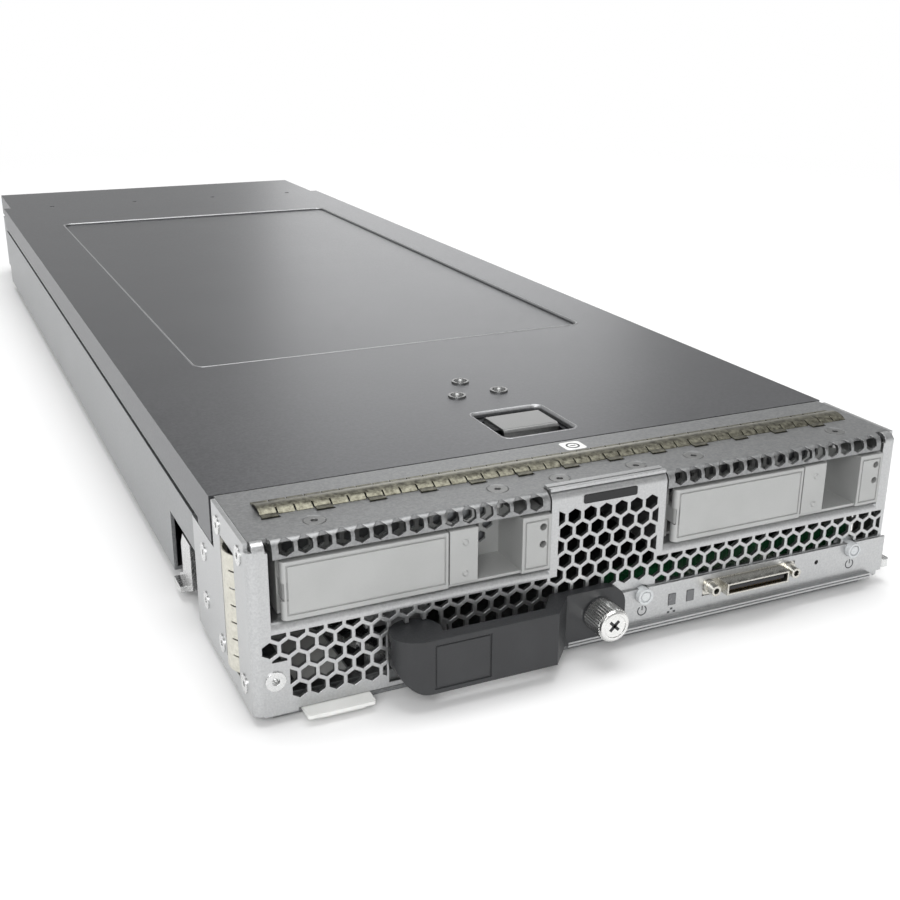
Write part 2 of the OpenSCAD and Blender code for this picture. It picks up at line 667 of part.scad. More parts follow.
module thumbscrew() color("#c4c5c6") {
    y1 = -foot_t - 0.1;
    y0 = y1 - knob_l;
    difference() {
        union() {
            difference() {
                union() {
                    rod_y(knob_r - 0.25, screw_x, [y0, y1], screw_z);
                    translate([screw_x, 0, screw_z]) for (i = [0 : 39]) rotate([0, i * 9, 0])
                        block([-0.22, 0.22], [y0 + 1.1, y1 - 0.3], [knob_r - 0.5, knob_r]);
                }
                // hollow that clears the ferrule
                rod_y(ferrule_r + 0.15, screw_x, [-foot_t - 5 - 0.3, cut], screw_z);
                // cross recess and the ring groove of the head
                for (a = [45, 135]) translate([screw_x, y0, screw_z]) rotate([0, a, 0])
                    block([-0.45, 0.45], [-cut, 1.6], [-2.2, 2.2]);
                difference() {
                    rod_y(3.6, screw_x, [y0 - cut, y0 + 0.3], screw_z);
                    rod_y(3.3, screw_x, [y0 - cut - 1, y0 + 1], screw_z);
                }
            }
            rod_y(shank_r, screw_x, [y1 - 6, 2], screw_z);
        }
        // groove for the retaining ring
        difference() {
            rod_y(shank_r + cut, screw_x, [-1.4 - fit, -1.4 + ring_t + fit], screw_z);
            rod_y(shank_r - 0.4, screw_x, [-3, 1], screw_z);
        }
    }
}
module pull_tag() color("#f2f2ee")
    difference() {
        union() {
            along_z([tag_z, tag_z + tag_t]) round_rect(tag_x, [-tag_out, tag_l], 1);
            block([tag_x[0] + 3, tag_x[1] - 3], [-tag_out + 0.4, -tag_out + 1.4], [tag_z - 0.5, tag_z + eps]);
        }
        along_z([tag_z - cut, tag_z + tag_t + cut]) round_rect([tag_x[0] + 6, tag_x[1] - 6], [tag_l - 6, tag_l - 3], 1);
    }

// ---------- drive cage ----------
cage_z = sill_z - sheet_t - 0.5;
module drive_cage() color("#aeb0b1") {
    y = [9.2, bay_l];
    for (s = [-1, 1]) scale([s, 1, 1]) {
        difference() {
            block([bay_in - 0.4, bay_out + 0.5], y, [cage_z, cage_z + sheet_t]);
            for (x = [bay_in + 14 : 12 : bay_out - 12])
                block([x - 3, x + 3], [36, bay_l - 16], [cage_z - cut, sill_z + cut]);
        }
        for (x = [[bay_in - sheet_t - 0.2, bay_in - 0.2], [bay_out + 0.3, bay_out + 0.3 + sheet_t]]) {
            block(x, [bend_r, bay_l], [cage_z, cage_top]);
            block(x, [bend_r, cover_y - 1], [cage_top - eps, body_h - sheet_t]);
        }
        // guide rails on which the carriers run
        block([bay_in, bay_out], [y[0], y[0] + 4], [cage_z + sheet_t - eps, sill_z]);
        block([bay_in, bay_in + 2.5], y, [cage_z + sheet_t - eps, sill_z]);
        block([bay_out - 2.5, bay_out], y, [cage_z + sheet_t - eps, sill_z]);
    }
    // bar that ties the two bays together and carries the latch's keeper
    block([-bay_in + 0.2, bay_in - 0.2], [40, 60], [tie_z - sheet_t, tie_z]);
}
cage_top = seat_z - sheet_t - 0.3;
tie_z = 36;
module drive_backplane() color("#2c6b45") {
    difference() {
        block([-bay_out - 1, bay_out + 1], [bay_l, bay_l + board_t], [cage_z, seat_z - 4]);
        for (s = [-1, 1]) for (x = [24, 76]) block([s * x - 9, s * x + 9], [bay_l - cut, bay_l + 4], [39, 43]);
    }
    block([-12, 12], [bay_l + board_t - eps, bay_l + board_t + 5], [cage_z + 2, cage_z + 8]);
}
module drive_sockets() color("#17181a")
    for (i = [0, 1]) {
        x = carrier_x[i] + carrier_w / 2;
        difference() {
            block([x - 22, x + 22], [bay_l - 2.6, bay_l], [carrier_z + 2, carrier_z + 8]);
            block([x - 19, x + 19], [bay_l - 3, bay_l - 0.8], [carrier_z + 4, carrier_z + 5.6]);
        }
    }
module storage_controller() color("#2c6b45") {
    x = [8, 72];
    y = [bay_l - 62, bay_l - 4];
    z = cage_z - 6;
    block(x, y, [z, z + board_t]);
    block([30, 50], [bay_l - 46, bay_l - 26], [z + board_t - eps, z + 5]);
    for (px = [x[0] + 4, x[1] - 4], py = [y[0] + 4, y[1] - 4]) rod_z(1.6, px, py, [z + board_t - eps, cage_z]);
}
// ---------- carriers ----------
module carrier(x0) color("#b3b5b6") {
    x1 = x0 + carrier_w;
    z0 = carrier_z;
    z1 = z0 + carrier_h;
    bx = x1 - block_w;
    wall_y = 13.5;
    pin_xy = [x0 + lever_r, carrier_face + lever_r];
    difference() {
        union() {
            // sides and floor rails
            block([x0, x0 + carrier_t], [lever_t2 + 1.2, carrier_l], [z0, z1 - 1]);
            block([x1 - carrier_t, x1], [carrier_face, carrier_l], [z0, z1 - 1]);
            block([x0, x0 + 5], [5.4, carrier_l], [z0, z0 + 0.8]);
            block([x1 - 5, x1], [5.4, carrier_l], [z0, z0 + 0.8]);
            // floor of the front recess and its perforated back wall
            block([x0, x1], [5.4, wall_y + 1], [z0, z0 + 0.8]);
            block([x0 + lever_w, x1], [0.2, 6], [z0, z0 + 0.8]);
            block([x0, x1], [wall_y, wall_y + 1], [z0, z1 - 0.4]);
            // right-hand block with the two light openings
            block([bx, x1], [carrier_face, wall_y + eps], [z0, z1]);
            // ear of the lever's pin
            along_z(lever_ear_z) {
                translate(pin_xy) circle(lever_r - 0.4);
                rect([x0 + 0.4, x0 + 2 * lever_r - 0.4], [pin_xy[1], lever_t2 + 4]);
            }
        }
        along_y([wall_y - cut, wall_y + 2]) hex_holes_in([x0 + 4, bx - 2], [z0 + 5, z1 - 2]);
        for (h = [7.6, 12.6]) rod_y(1, bx + 6.2, [carrier_face - cut, wall_y + 2], z0 + h);
        // inset border of the block
        along_y([carrier_face - cut, carrier_face + 0.3]) difference() {
            rect([bx + 0.8, x1 - 0.8], [z0 + 0.9, z1 - 1.2]);
            rect([bx + 1.2, x1 - 1.2], [z0 + 1.3, z1 - 1.6]);
        }
        rod_z(0.6 + fit, pin_xy[0], pin_xy[1], [z0 - cut, z1 + cut]);
    }
}
lever_ear_z = [carrier_z + 5.5, carrier_z + 10];
module hex_holes_in(x, z) {
    for (n = [0 : 2], i = [0 : floor((x[1] - x[0]) / 4.2) - 1])
        translate([x[0] + 2 + i * 4.2 + (n % 2) * 2.1, z[0] + 1.2 + n * 3.64]) rotate(30) circle(1.75, $fn = 6);
}
module carrier_lever(x0) color("#b9babb") {
    z0 = carrier_z + 0.1;
    z1 = carrier_z + carrier_h - 0.1;
    x1 = x0 + lever_w;
    pin_xy = [x0 + lever_r, carrier_face + lever_r];
    difference() {
        along_z([z0, z1]) {
            translate(pin_xy) circle(lever_r);
            rect([pin_xy[0], x1], [carrier_face, carrier_face + lever_t2]);
        }
        // slot that clears the carrier's ear as the lever swings
        translate([pin_xy[0], pin_xy[1], lever_ear_z[0] - 0.15])
            linear_extrude(lever_ear_z[1] - lever_ear_z[0] + 0.3) swept_slot(lever_r - 0.25, 8, lever_turn);
        // hollow back
        block([x0 + 7, x1 - 8], [-carrier_face + 0.4, lever_t2], [z0 + 1.6, z1 - 1.6]);
        // inset border line on the face
        along_y([carrier_face - cut, carrier_face + 0.3]) difference() {
            rect([x0 + 1.2, x1 - 0.7], [z0 + 1.3, z1 - 0.9]);
            rect([x0 + 1.6, x1 - 1.1], [z0 + 1.7, z1 - 1.3]);
        }
    }
    rod_z(0.6, pin_xy[0], pin_xy[1], [z0 + 1, z1 - 1]);
}
module carrier_release(x0) color("#bcbdbe") {
    xa = x0 + lever_w + 0.4;
    z0 = carrier_z + 1;
    z1 = carrier_z + carrier_h + 0.1;
    block([xa, xa + release_w], [carrier_face, 3], [z0, z1]);
    block([xa + 1, xa + release_w - 2], [2.9, 12.8], [z0, z0 + 8]);
    for (h = [3.6, 12.4]) translate([xa + 4.4, carrier_face, carrier_z + h]) rotate([90, 0, 0])
        cylinder(r1 = 0.9, r2 = 0.6, h = 0.5);
}
module drive(x0) color("#8f9193") {
    cx = x0 + carrier_w / 2;
    y = [carrier_l - drive_l - 0.5 + 7, carrier_l - 0.5];
    difference() {
        block([cx - drive_w / 2, cx + drive_w / 2], [15.2, carrier_l - 0.4], [carrier_z + 0.9, carrier_z + 0.9 + drive_h]);
        block([cx - 20, cx + 20], [carrier_l - 3, carrier_l + cut], [carrier_z, carrier_z + 6]);
        along_z([carrier_z + drive_h + 0.5, carrier_z + drive_h + 2])
            round_rect([cx - 30, cx + 30], [22, 98], 4);
    }
}

// ---------- motherboard and what it carries ----------
module motherboard() color("#2c6b45") {
    difference() {
        union() {
            along_z([mb_z, mb_top]) {
                rect([-mb_w / 2, mb_w / 2], [board_y, wide_l - 6]);
                rect([-mb_w / 2 + rear_inset, mb_w / 2 - rear_inset], [board_y, mb_y1]);
            }
            // board-to-board sockets of the two adapter cards, and small parts
            for (s = [-1, 1]) block([s * 46 - 22, s * 46 + 22], [474, 481], [mb_top - eps, mb_top + 9]);
            for (p = [[-60, 545], [-30, 545], [46, 545], [66, 520]]) block([p[0] - 9, p[0] + 9], [p[1] - 9, p[1] + 9],
                [mb_top - eps, mb_top + 2.4]);
            rod_z(11.5, -6, 520, [mb_top - eps, mb_top + 1]);
        }
        for (p = standoff_spots) rod_z(1.7, p[0], p[1], [mb_z - cut, mb_top + cut]);
        for (c = cpu_y, sx = [-1, 1], sy = [-1, 1])
            rod_z(2.1, sx * (sink_w / 2 - 4), c + sy * (sink_l / 2 - 4), [mb_z - cut, mb_top + cut]);
    }
}
module board_standoffs() color("#c9b27a")
    for (p = standoff_spots) difference() {
        rod_z(3, p[0], p[1], [sheet_t + 0.6, mb_z]);
        rod_z(1.5, p[0], p[1], [sheet_t + 2, mb_z + cut]);
    }
module board_screws() color("#b9babb")
    for (p = standoff_spots) {
        rod_z(1.4, p[0], p[1], [sheet_t + 3, mb_top + eps]);
        rod_z(3, p[0], p[1], [mb_top, mb_top + 1.6]);
    }
module cpu_sockets() color("#d8d8d2")
    for (c = cpu_y) difference() {
        block([-28, 28], [c - 35, c + 35], [mb_top, mb_top + 4]);
        block([-23, 23], [c - 26, c + 26], [mb_top + 1.6, mb_top + 5]);
    }
module processors() color("#b7b9bb")
    for (c = cpu_y) {
        block([-22.5, 22.5], [c - 25.5, c + 25.5], [mb_top + 1.6, mb_top + 3.4]);
        block([-19, 19], [c - 20, c + 20], [mb_top + 3.3, mb_top + 5.6]);
    }
module heat_sink(c) color("#c8cacc") {
    z0 = mb_top + 5.6;
    difference() {
        block([-sink_w / 2, sink_w / 2], [c - sink_l / 2, c + sink_l / 2], [z0, z0 + base_t]);
        for (sx = [-1, 1], sy = [-1, 1])
            rod_z(2.1, sx * (sink_w / 2 - 4), c + sy * (sink_l / 2 - 4), [z0 - cut, z0 + base_t + cut]);
    }
    pitch = (sink_w - 18) / (fin_count - 1);
    for (i = [0 : fin_count - 1]) translate([-sink_w / 2 + 9 + i * pitch - 0.35, c - sink_l / 2, z0 + base_t - eps])
        cube([0.7, sink_l, fin_h]);
}
module heat_sink_front() heat_sink(cpu_y[0]);
module heat_sink_rear() heat_sink(cpu_y[1]);
module heat_sink_screws() color("#8d8f91")
    for (c = cpu_y, sx = [-1, 1], sy = [-1, 1]) {
        x = sx * (sink_w / 2 - 4);
        y = c + sy * (sink_l / 2 - 4);
        rod_z(2, x, y, [mb_z + 0.2, mb_top + 5.6 + base_t + eps]);
        rod_z(3.6, x, y, [mb_top + 5.6 + base_t, mb_top + 5.6 + base_t + 3]);
    }
function dimm_x(s, i) = s * (sink_w / 2 + 5 + i * dimm_pitch);
module each_dimm() {
    for (c = cpu_y, s = [-1, 1], i = [0 : dimms_per_bank - 1]) translate([dimm_x(s, i), c, 0]) children();
}
module dimm_sockets() color("#1d1e20")
    each_dimm() difference() {
        union() {
            block([-3, 3], [-dimm_l / 2 - 3.5, dimm_l / 2 + 3.5], [mb_top, mb_top + dimm_seat]);
            for (s = [-1, 1]) block([-2.2, 2.2], s < 0 ? [-dimm_l / 2 - 5.5, -dimm_l / 2 - 2] : [dimm_l / 2 + 2, dimm_l / 2 + 5.5],
                [mb_top, mb_top + 18]);
        }
        block([-0.9, 0.9], [-dimm_l / 2 - 0.2, dimm_l / 2 + 0.2], [mb_top + 2, mb_top + dimm_seat + cut]);
    }
module memory_modules() color("#1f6b3c")
    each_dimm() {
        block([-0.6, 0.6], [-dimm_l / 2, dimm_l / 2], [mb_top + 2, mb_top + 2 + dimm_h]);
        for (s = [-1, 1], k = [-2 : 2]) block(s < 0 ? [-1.7, -0.6 + eps] : [0.6 - eps, 1.7],
            [k * 25 - 9, k * 25 + 9], [mb_top + 12, mb_top + 24]);
    }
module network_card() color("#2c6b45") adapter_card(-46);
module mezzanine_card() color("#2c6b45") adapter_card(46);
module adapter_card(cx) {
    z0 = mb_top + 9;
    block([cx - 42, cx + 42], [470, 566], [z0, z0 + board_t]);
    block([cx - 16, cx + 16], [505, 537], [z0 + board_t - eps, z0 + board_t + 3]);
    for (i = [0 : 8]) block([cx - 16 + i * 4 - 0.5, cx - 16 + i * 4 + 0.5], [503, 539], [z0 + board_t + 2.9, z0 + 14]);
    for (x = [cx - 38, cx + 38], y = [561]) rod_z(2.5, x, y, [mb_top, z0 + eps]);
}
module coin_cell() color("#c4c4c0")
    rod_z(10, -6, 520, [mb_top + 1, mb_top + 4.2]);
// ---------- rear ----------
module power_connector() color("#202124") {
    y0 = mb_y1 - 16;
    difference() {
        block([40, 76], [y0, body_l + 12], [mb_top, mb_top + 15]);
        for (i = [0 : 5]) block([43 + i * 5.4, 45.6 + i * 5.4], [body_l, body_l + 12 + cut], [mb_top + 3, mb_top + 12]);
    }
}
module data_connector() color("#202124") {
    y0 = mb_y1 - 18;
    difference() {
        block([-76, -14], [y0, body_l + 12], [mb_top, mb_top + 20]);
        for (i = [0 : 9]) for (k = [0 : 2]) block([-73 + i * 6, -70.4 + i * 6], [body_l + 2, body_l + 12 + cut],
            [mb_top + 2.4 + k * 6, mb_top + 6.4 + k * 6]);
    }
}
guide_x = [-4, 82];
guide_z = mb_top + 8;
module guide_sockets() color("#303236")
    for (x = guide_x) difference() {
        union() {
            block([x - 5.2, x + 5.2], [mb_y1 - 14, body_l + 14], [mb_top, mb_top + 15]);
        }
        rod_y(3.6, x, [body_l - 10, body_l + 14 + cut], guide_z);
        translate([x, body_l + 14 - 1.5, guide_z]) rotate([-90, 0, 0]) cylinder(r1 = 3.6, r2 = 5.1, h = 1.51);
    }

// ---------- top cover and its latch ----------
module cover_outline(i) {
    rect([-half_w + i, half_w - i], [cover_y + (i > 0 ? -cut : 0), wide_l - i]);
    rect([-half_w + rear_inset + i, half_w - rear_inset - i], [cover_y, body_l + (i > 0 ? cut : 0)]);
}
module top_cover() color("#9a9c9e") {
    zf = seam_z + seam_gap;
    difference() {
        union() {
            difference() {
                along_z([zf, body_h]) cover_outline(0);
                along_z([zf - cut, seat_z]) cover_outline(cover_t);
            }
            // the flange reaches lower beside the front section
            for (s = [-1, 1]) scale([s, 1, 1])
                block([half_w - cover_t, half_w], [cover_y, 50], [seam_z, zf + eps]);
            // rolled front edge
            rod_x(0.6, [-half_w + 4, half_w - 4], cover_y + 0.6, body_h - 0.6);
            // raised floor under the long recess, and the latch's dish
            along_z([seat_z - 0.9, seat_z + eps]) round_rect([-77, 81.5], [153, 475], 5);
            along_z([body_h - cover_t - dish_d, seat_z + eps])
                round_rect([latch_x - dish_w / 2, latch_x + dish_w / 2], dish_y, 3.4);
        }
        // long shallow recess
        along_z([body_h - 0.9, body_h + cut]) round_rect([-76, 80.5], [154, 474], 4);
        // dish and opening of the latch
        along_z([body_h - dish_d, body_h + cut])
            round_rect([latch_x - dish_w / 2 + 1.4, latch_x + dish_w / 2 - 1.4], [dish_y[0] + 1.4, dish_y[1] - 1.4], 2.6);
        along_z([body_h - 10, body_h + cut])
            rect([latch_x - latch_w / 2 - 1.4, latch_x + latch_w / 2 + 1.4], [dish_y[0] + 1.4, latch_y[1] + 1.2]);
        for (p = cover_rivet_spots) rod_z(1.5, p[0], p[1], [seat_z - cut, body_h + cut]);
        // small dimples near the rear
        for (x = [-73, -22, 29, 80]) rod_z(1.4, x, wide_l - 2, [body_h - 0.4, body_h + cut]);
    }
}
cover_rivet_spots = [[2.2 - 7.7, 87], [2.2 + 7.7, 87], [2.2, 101]];
module cover_rivets() color("#c2c3c4")
    for (p = cover_rivet_spots) {
        difference() {
            rod_z(3, p[0], p[1], [body_h, body_h + 0.5]);
            rod_z(2.2, p[0], p[1], [body_h + 0.2, body_h + cut]);
        }
        rod_z(1.45, p[0], p[1], [seat_z - 1.6, body_h + 0.3]);
        intersection() {
            translate([p[0], p[1], body_h - 0.6]) sphere(2);
            rod_z(2, p[0], p[1], [body_h + 0.1, body_h + 2]);
        }
    }
module latch_bracket() color("#aeb0b1") {
    w = latch_w / 2 + 2.2;
    difference() {
        union() {
            block([latch_x - w - sheet_t, latch_x + w + sheet_t], [dish_y[1] + 0.8, 106], [seat_z - sheet_t, seat_z]);
            for (s = [-1, 1]) translate([latch_x, 0, 0]) scale([s, 1, 1]) {
                block([w, w + sheet_t], [62, 76], [latch_axis_z - 2.2, seat_z - dish_d - gap]);
                block([w, w + sheet_t], [dish_y[1] + 0.8, 76], [latch_axis_z - 2.2, seat_z - eps]);
            }
        }
        for (p = cover_rivet_spots) rod_z(1.5, p[0], p[1], [seat_z - 3, body_h]);
        rod_x(1.2 + fit, [latch_x - 14, latch_x + 14], latch_axis_y, latch_axis_z);
    }
}
module cover_latch() color("#d5d7d9") {
    w = latch_w / 2;
    t = 0.8;
    z0 = latch_axis_z - 0.4;
    along_x([latch_x - w, latch_x + w]) {
        rect([latch_y[0] + 1.2, latch_y[1] - 1.2], [body_h - t, body_h]);
        translate([latch_y[0] + 1.2, body_h - 1.2]) bend(1.2, t, 90);
        translate([latch_y[1] - 1.2, body_h - 1.2]) bend(1.2, t, 0);
        rect([latch_y[0], latch_y[0] + t], [z0, body_h - 1.2 + eps]);
        rect([latch_y[1] - t, latch_y[1]], [z0, body_h - 1.2 + eps]);
        rect([latch_y[1] - t, latch_axis_y], [z0, z0 + t]);
    }
    rod_x(1.2, [latch_x - w - 2.2 - sheet_t, latch_x + w + 2.2 + sheet_t], latch_axis_y, latch_axis_z);
    // arms that reach forward to the two hooks
    for (s = [-1, 1]) translate([latch_x, 0, 0]) scale([s, 1, 1]) {
        block([w - 1.4, w], [latch_hook_y, latch_y[0] + t], [z0 - 0.8, z0 + 0.2]);
        block([w - 1.4, w + 2.6], [latch_hook_y, latch_hook_y + 1], [z0 - 0.8, z0 + 1.6]);
    }
}
module latch_keeper() color("#aeb0b1") {
    w = [latch_x - latch_w / 2 - 4.6, latch_x + latch_w / 2 + 4.6];
    block([max(w[0], -bay_in + 1), min(w[1], bay_in - 1)], [43, 57], [tie_z, tie_z + sheet_t]);
    for (s = [0, 1]) {
        block([w[s] - (s == 1 ? sheet_t : 0), w[s] + (s == 0 ? sheet_t : 0)], [43, 57], [tie_z, latch_axis_z + 1.2]);
        // lug turned in front of the side plate, behind which the latch's hook sits
        block([w[s] - (s == 1 ? 4 : 0), w[s] + (s == 0 ? 4 : 0)], [keeper_y, keeper_y + sheet_t],
            [latch_axis_z - 0.6, latch_axis_z + 1.2]);
    }
}
// ---------- the assembly, moved so that the origin lies under the tray's middle ----------
module place() { translate([0, -org_y, 0]) children(); }
place() base_tray();
place() front_panel();
place() top_panel();
place() control_plate();
place() drive_cage();
place() drive_backplane();
place() drive_sockets();
place() gasket_strip_top();
place() gasket_strips_side();
place() top_screws();
place() side_rivets();
place() panel_stud();
place() corner_guide();
place() control_board();
place() console_shell();
place() console_insert();
place() jack_screws();
place() status_lights();
place() ejector_brackets();
place() ejector_pin();
place() motherboard();
place() cpu_sockets();
place() processors();
place() heat_sink_front();
place() heat_sink_rear();
place() heat_sink_screws();
place() dimm_sockets();
place() memory_modules();
place() board_standoffs();
place() board_screws();
place() network_card();
place() mezzanine_card();
place() power_connector();
place() data_connector();
place() guide_sockets();
place() coin_cell();
place() storage_controller();
place() latch_keeper();
place() top_cover();
place() latch_bracket();
place() cover_rivets();
place() cover_latch();
place() ejector_handle();
place() ejector_lever();
place() screw_ferrule();
place() retaining_ring();
place() thumbscrew();
place() carrier(carrier_x[0]);  // carrier_left
place() carrier(carrier_x[1]);  // carrier_right
place() drive(carrier_x[0]);  // drive_left
place() drive(carrier_x[1]);  // drive_right
place() carrier_lever(carrier_x[0]);  // carrier_lever_left
place() carrier_lever(carrier_x[1]);  // carrier_lever_right
place() carrier_release(carrier_x[0]);  // carrier_release_left
place() carrier_release(carrier_x[1]);  // carrier_release_right
place() power_button();
place() beacon_button();
place() reset_plunger();
place() pull_tag();
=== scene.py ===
# %% [markdown]
# # A blade server, dressed for a product picture
# The construction model already holds every solid of the server, each on the body that moves it. This
# lesson keeps those solids, gives each one the finish of the real piece, and adds the small pieces that
# construction leaves out: the knurled knob, embossed beads, contacts and printed marks.
# Everything is in metres and in the same frame, so a piece goes exactly where the construction says.

# %% Load the frame
import math

import bmesh
import bpy
from mathutils import Matrix, Vector


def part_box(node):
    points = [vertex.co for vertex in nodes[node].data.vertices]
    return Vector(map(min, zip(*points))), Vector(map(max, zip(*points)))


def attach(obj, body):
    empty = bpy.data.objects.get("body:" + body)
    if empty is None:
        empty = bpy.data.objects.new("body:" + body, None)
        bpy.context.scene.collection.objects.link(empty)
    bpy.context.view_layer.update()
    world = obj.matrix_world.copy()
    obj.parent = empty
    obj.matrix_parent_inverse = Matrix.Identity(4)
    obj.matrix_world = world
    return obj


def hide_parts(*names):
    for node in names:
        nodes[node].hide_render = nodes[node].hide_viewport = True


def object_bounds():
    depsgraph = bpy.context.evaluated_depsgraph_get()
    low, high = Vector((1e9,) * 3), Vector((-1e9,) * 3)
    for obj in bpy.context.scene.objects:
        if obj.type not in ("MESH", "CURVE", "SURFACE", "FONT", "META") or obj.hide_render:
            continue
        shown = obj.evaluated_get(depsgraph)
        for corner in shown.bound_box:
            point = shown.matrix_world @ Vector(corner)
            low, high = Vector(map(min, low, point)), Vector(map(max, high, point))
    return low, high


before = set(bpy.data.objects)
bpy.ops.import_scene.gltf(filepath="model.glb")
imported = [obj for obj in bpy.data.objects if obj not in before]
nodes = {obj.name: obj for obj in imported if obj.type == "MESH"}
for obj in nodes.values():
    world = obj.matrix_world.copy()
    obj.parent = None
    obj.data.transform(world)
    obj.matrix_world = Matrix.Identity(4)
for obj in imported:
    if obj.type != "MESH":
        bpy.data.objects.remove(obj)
cad_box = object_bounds()
MM = 0.001

# %% [markdown]
# ## Camera
# The server is seen from its front left corner, a little above the top cover. The lens is a short
# telephoto, close enough that the long sides run together towards the rear. The camera comes first, so
# that every later piece can be judged from the angle that matters most.

# %% Camera
CAMERA_AT = Vector((-0.167461, -0.560184, 0.171829))
YAW, PITCH, ROLL = 0.4326, -0.3534, 0.0058      # radians, from +Y towards +X, up, and about the axis
LENS_MM, SENSOR_MM = 48.62, 36.0

ahead = Vector((math.sin(YAW) * math.cos(PITCH), math.cos(YAW) * math.cos(PITCH), math.sin(PITCH)))
right = Vector((math.cos(YAW), -math.sin(YAW), 0))
up = right.cross(ahead)
right, up = (math.cos(ROLL) * right + math.sin(ROLL) * up, math.cos(ROLL) * up - math.sin(ROLL) * right)

camera = bpy.data.objects.new("camera", bpy.data.cameras.new("camera"))
bpy.context.scene.collection.objects.link(camera)
camera.matrix_world = Matrix.Translation(CAMERA_AT) @ Matrix((right, up, -ahead)).transposed().to_4x4()
camera.data.lens, camera.data.sensor_width = LENS_MM, SENSOR_MM
camera.data.clip_start, camera.data.clip_end = 0.01, 50
bpy.context.scene.camera = camera
print("camera at", tuple(round(c, 3) for c in CAMERA_AT))

# %% [markdown]
# ## Helpers for finishes
# Colours are written as the hex values that a screen shows, and one function turns them to the linear
# numbers that the renderer needs. Patterns read Object coordinates, in metres, so a pattern's scale is
# worked out from a real size in millimetres. One small function adds a node with settings and links.

# %% Colour, scale and nodes
def linear(code):
    """An sRGB hex colour as linear red, green, blue and alpha."""
    parts = [int(code[i:i + 2], 16) / 255 for i in (1, 3, 5)]
    return [c / 12.92 if c <= 0.04045 else ((c + 0.055) / 1.055) ** 2.4 for c in parts] + [1.0]


def per_mm(size):
    """The scale of a texture whose features are about this many millimetres across."""
    return 1 / (size * MM)


def add(tree, kind, inputs=None, **settings):
    """Adds a node: settings are its properties, inputs are values or other nodes' sockets."""
    made = tree.nodes.new(kind)
    for name, value in settings.items():
        setattr(made, name, value)
    for key, value in (inputs or {}).items():
        if isinstance(value, bpy.types.NodeSocket):
            tree.links.new(value, made.inputs[key])
        else:
            made.inputs[key].default_value = value
    return made


def new_material(name):
    """A material with one shader, and the socket that gives places on the object."""
    made = bpy.data.materials.new(name)
    made.use_nodes = True
    tree = made.node_tree
    tree.nodes.clear()
    shader = add(tree, "ShaderNodeBsdfPrincipled")
    add(tree, "ShaderNodeOutputMaterial", {"Surface": shader.outputs[0]})
    return made, tree, shader, add(tree, "ShaderNodeTexCoord").outputs["Object"]


def blend_colour(tree, factor, low, high, span=(0.35, 0.65)):
    """A ramp between two hex colours, over the span of a texture's values."""
    ramp = add(tree, "ShaderNodeValToRGB", {"Fac": factor})
    for stop, at, code in zip(ramp.color_ramp.elements, span, (low, high)):
        stop.position, stop.color = at, linear(code)
    return ramp.outputs["Color"]


def spread(tree, factor, low, high):
    """A texture's values from 0.3 to 0.7 as numbers from low to high."""
    made = add(tree, "ShaderNodeMapRange", {"Value": factor, "From Min": 0.3, "From Max": 0.7,
                                            "To Min": low, "To Max": high})
    return made.outputs["Result"]


# %% [markdown]
# ## Plated sheet steel
# Most of the server is zinc-plated sheet steel, folded and left bare. Plating leaves fine bright and
# dull crystals about half a millimetre across and broad, faint clouds where the bath ran. The crystals
# are drawn a little coarser than they are so that they show. A Bevel node rounds the look of sharp
# edges by a fraction of a millimetre, which gives folded and cut edges their thin highlight.

# %% Sheet metals
def plated(name, dark, pale, crystal=0.8, rough=0.4, metal=1.0, edge=0.25, relief=0.012, clouds=0.25):
    """Bare plated metal: crystals in colour and gloss, clouds, and softened edges."""
    made, tree, shader, place = new_material(name)
    fine = add(tree, "ShaderNodeTexNoise", {"Vector": place, "Scale": per_mm(crystal), "Detail": 2.0,
                                            "Roughness": 0.65}).outputs["Fac"]
    cloud = add(tree, "ShaderNodeTexNoise", {"Vector": place, "Scale": per_mm(38), "Detail": 3.0}).outputs["Fac"]
    both = add(tree, "ShaderNodeMath", {0: cloud, 1: fine}, operation="MULTIPLY_ADD")
    tree.links.new(add(tree, "ShaderNodeMath", {0: cloud, 1: clouds}, operation="MULTIPLY").outputs[0],
                   both.inputs[0])
    both.inputs[1].default_value = 1.0
    tree.links.new(fine, both.inputs[2])
    tree.links.new(blend_colour(tree, both.outputs[0], dark, pale, (0.36, 0.84)), shader.inputs["Base Color"])
    tree.links.new(spread(tree, fine, rough - 0.05, rough + 0.07), shader.inputs["Roughness"])
    shader.inputs["Metallic"].default_value = metal
    rounded = add(tree, "ShaderNodeBevel", {"Radius": edge * MM}, samples=4).outputs["Normal"]
    bump = add(tree, "ShaderNodeBump", {"Height": fine, "Strength": 0.35, "Distance": relief * MM,
                                        "Normal": rounded})
    tree.links.new(bump.outputs["Normal"], shader.inputs["Normal"])
    return made


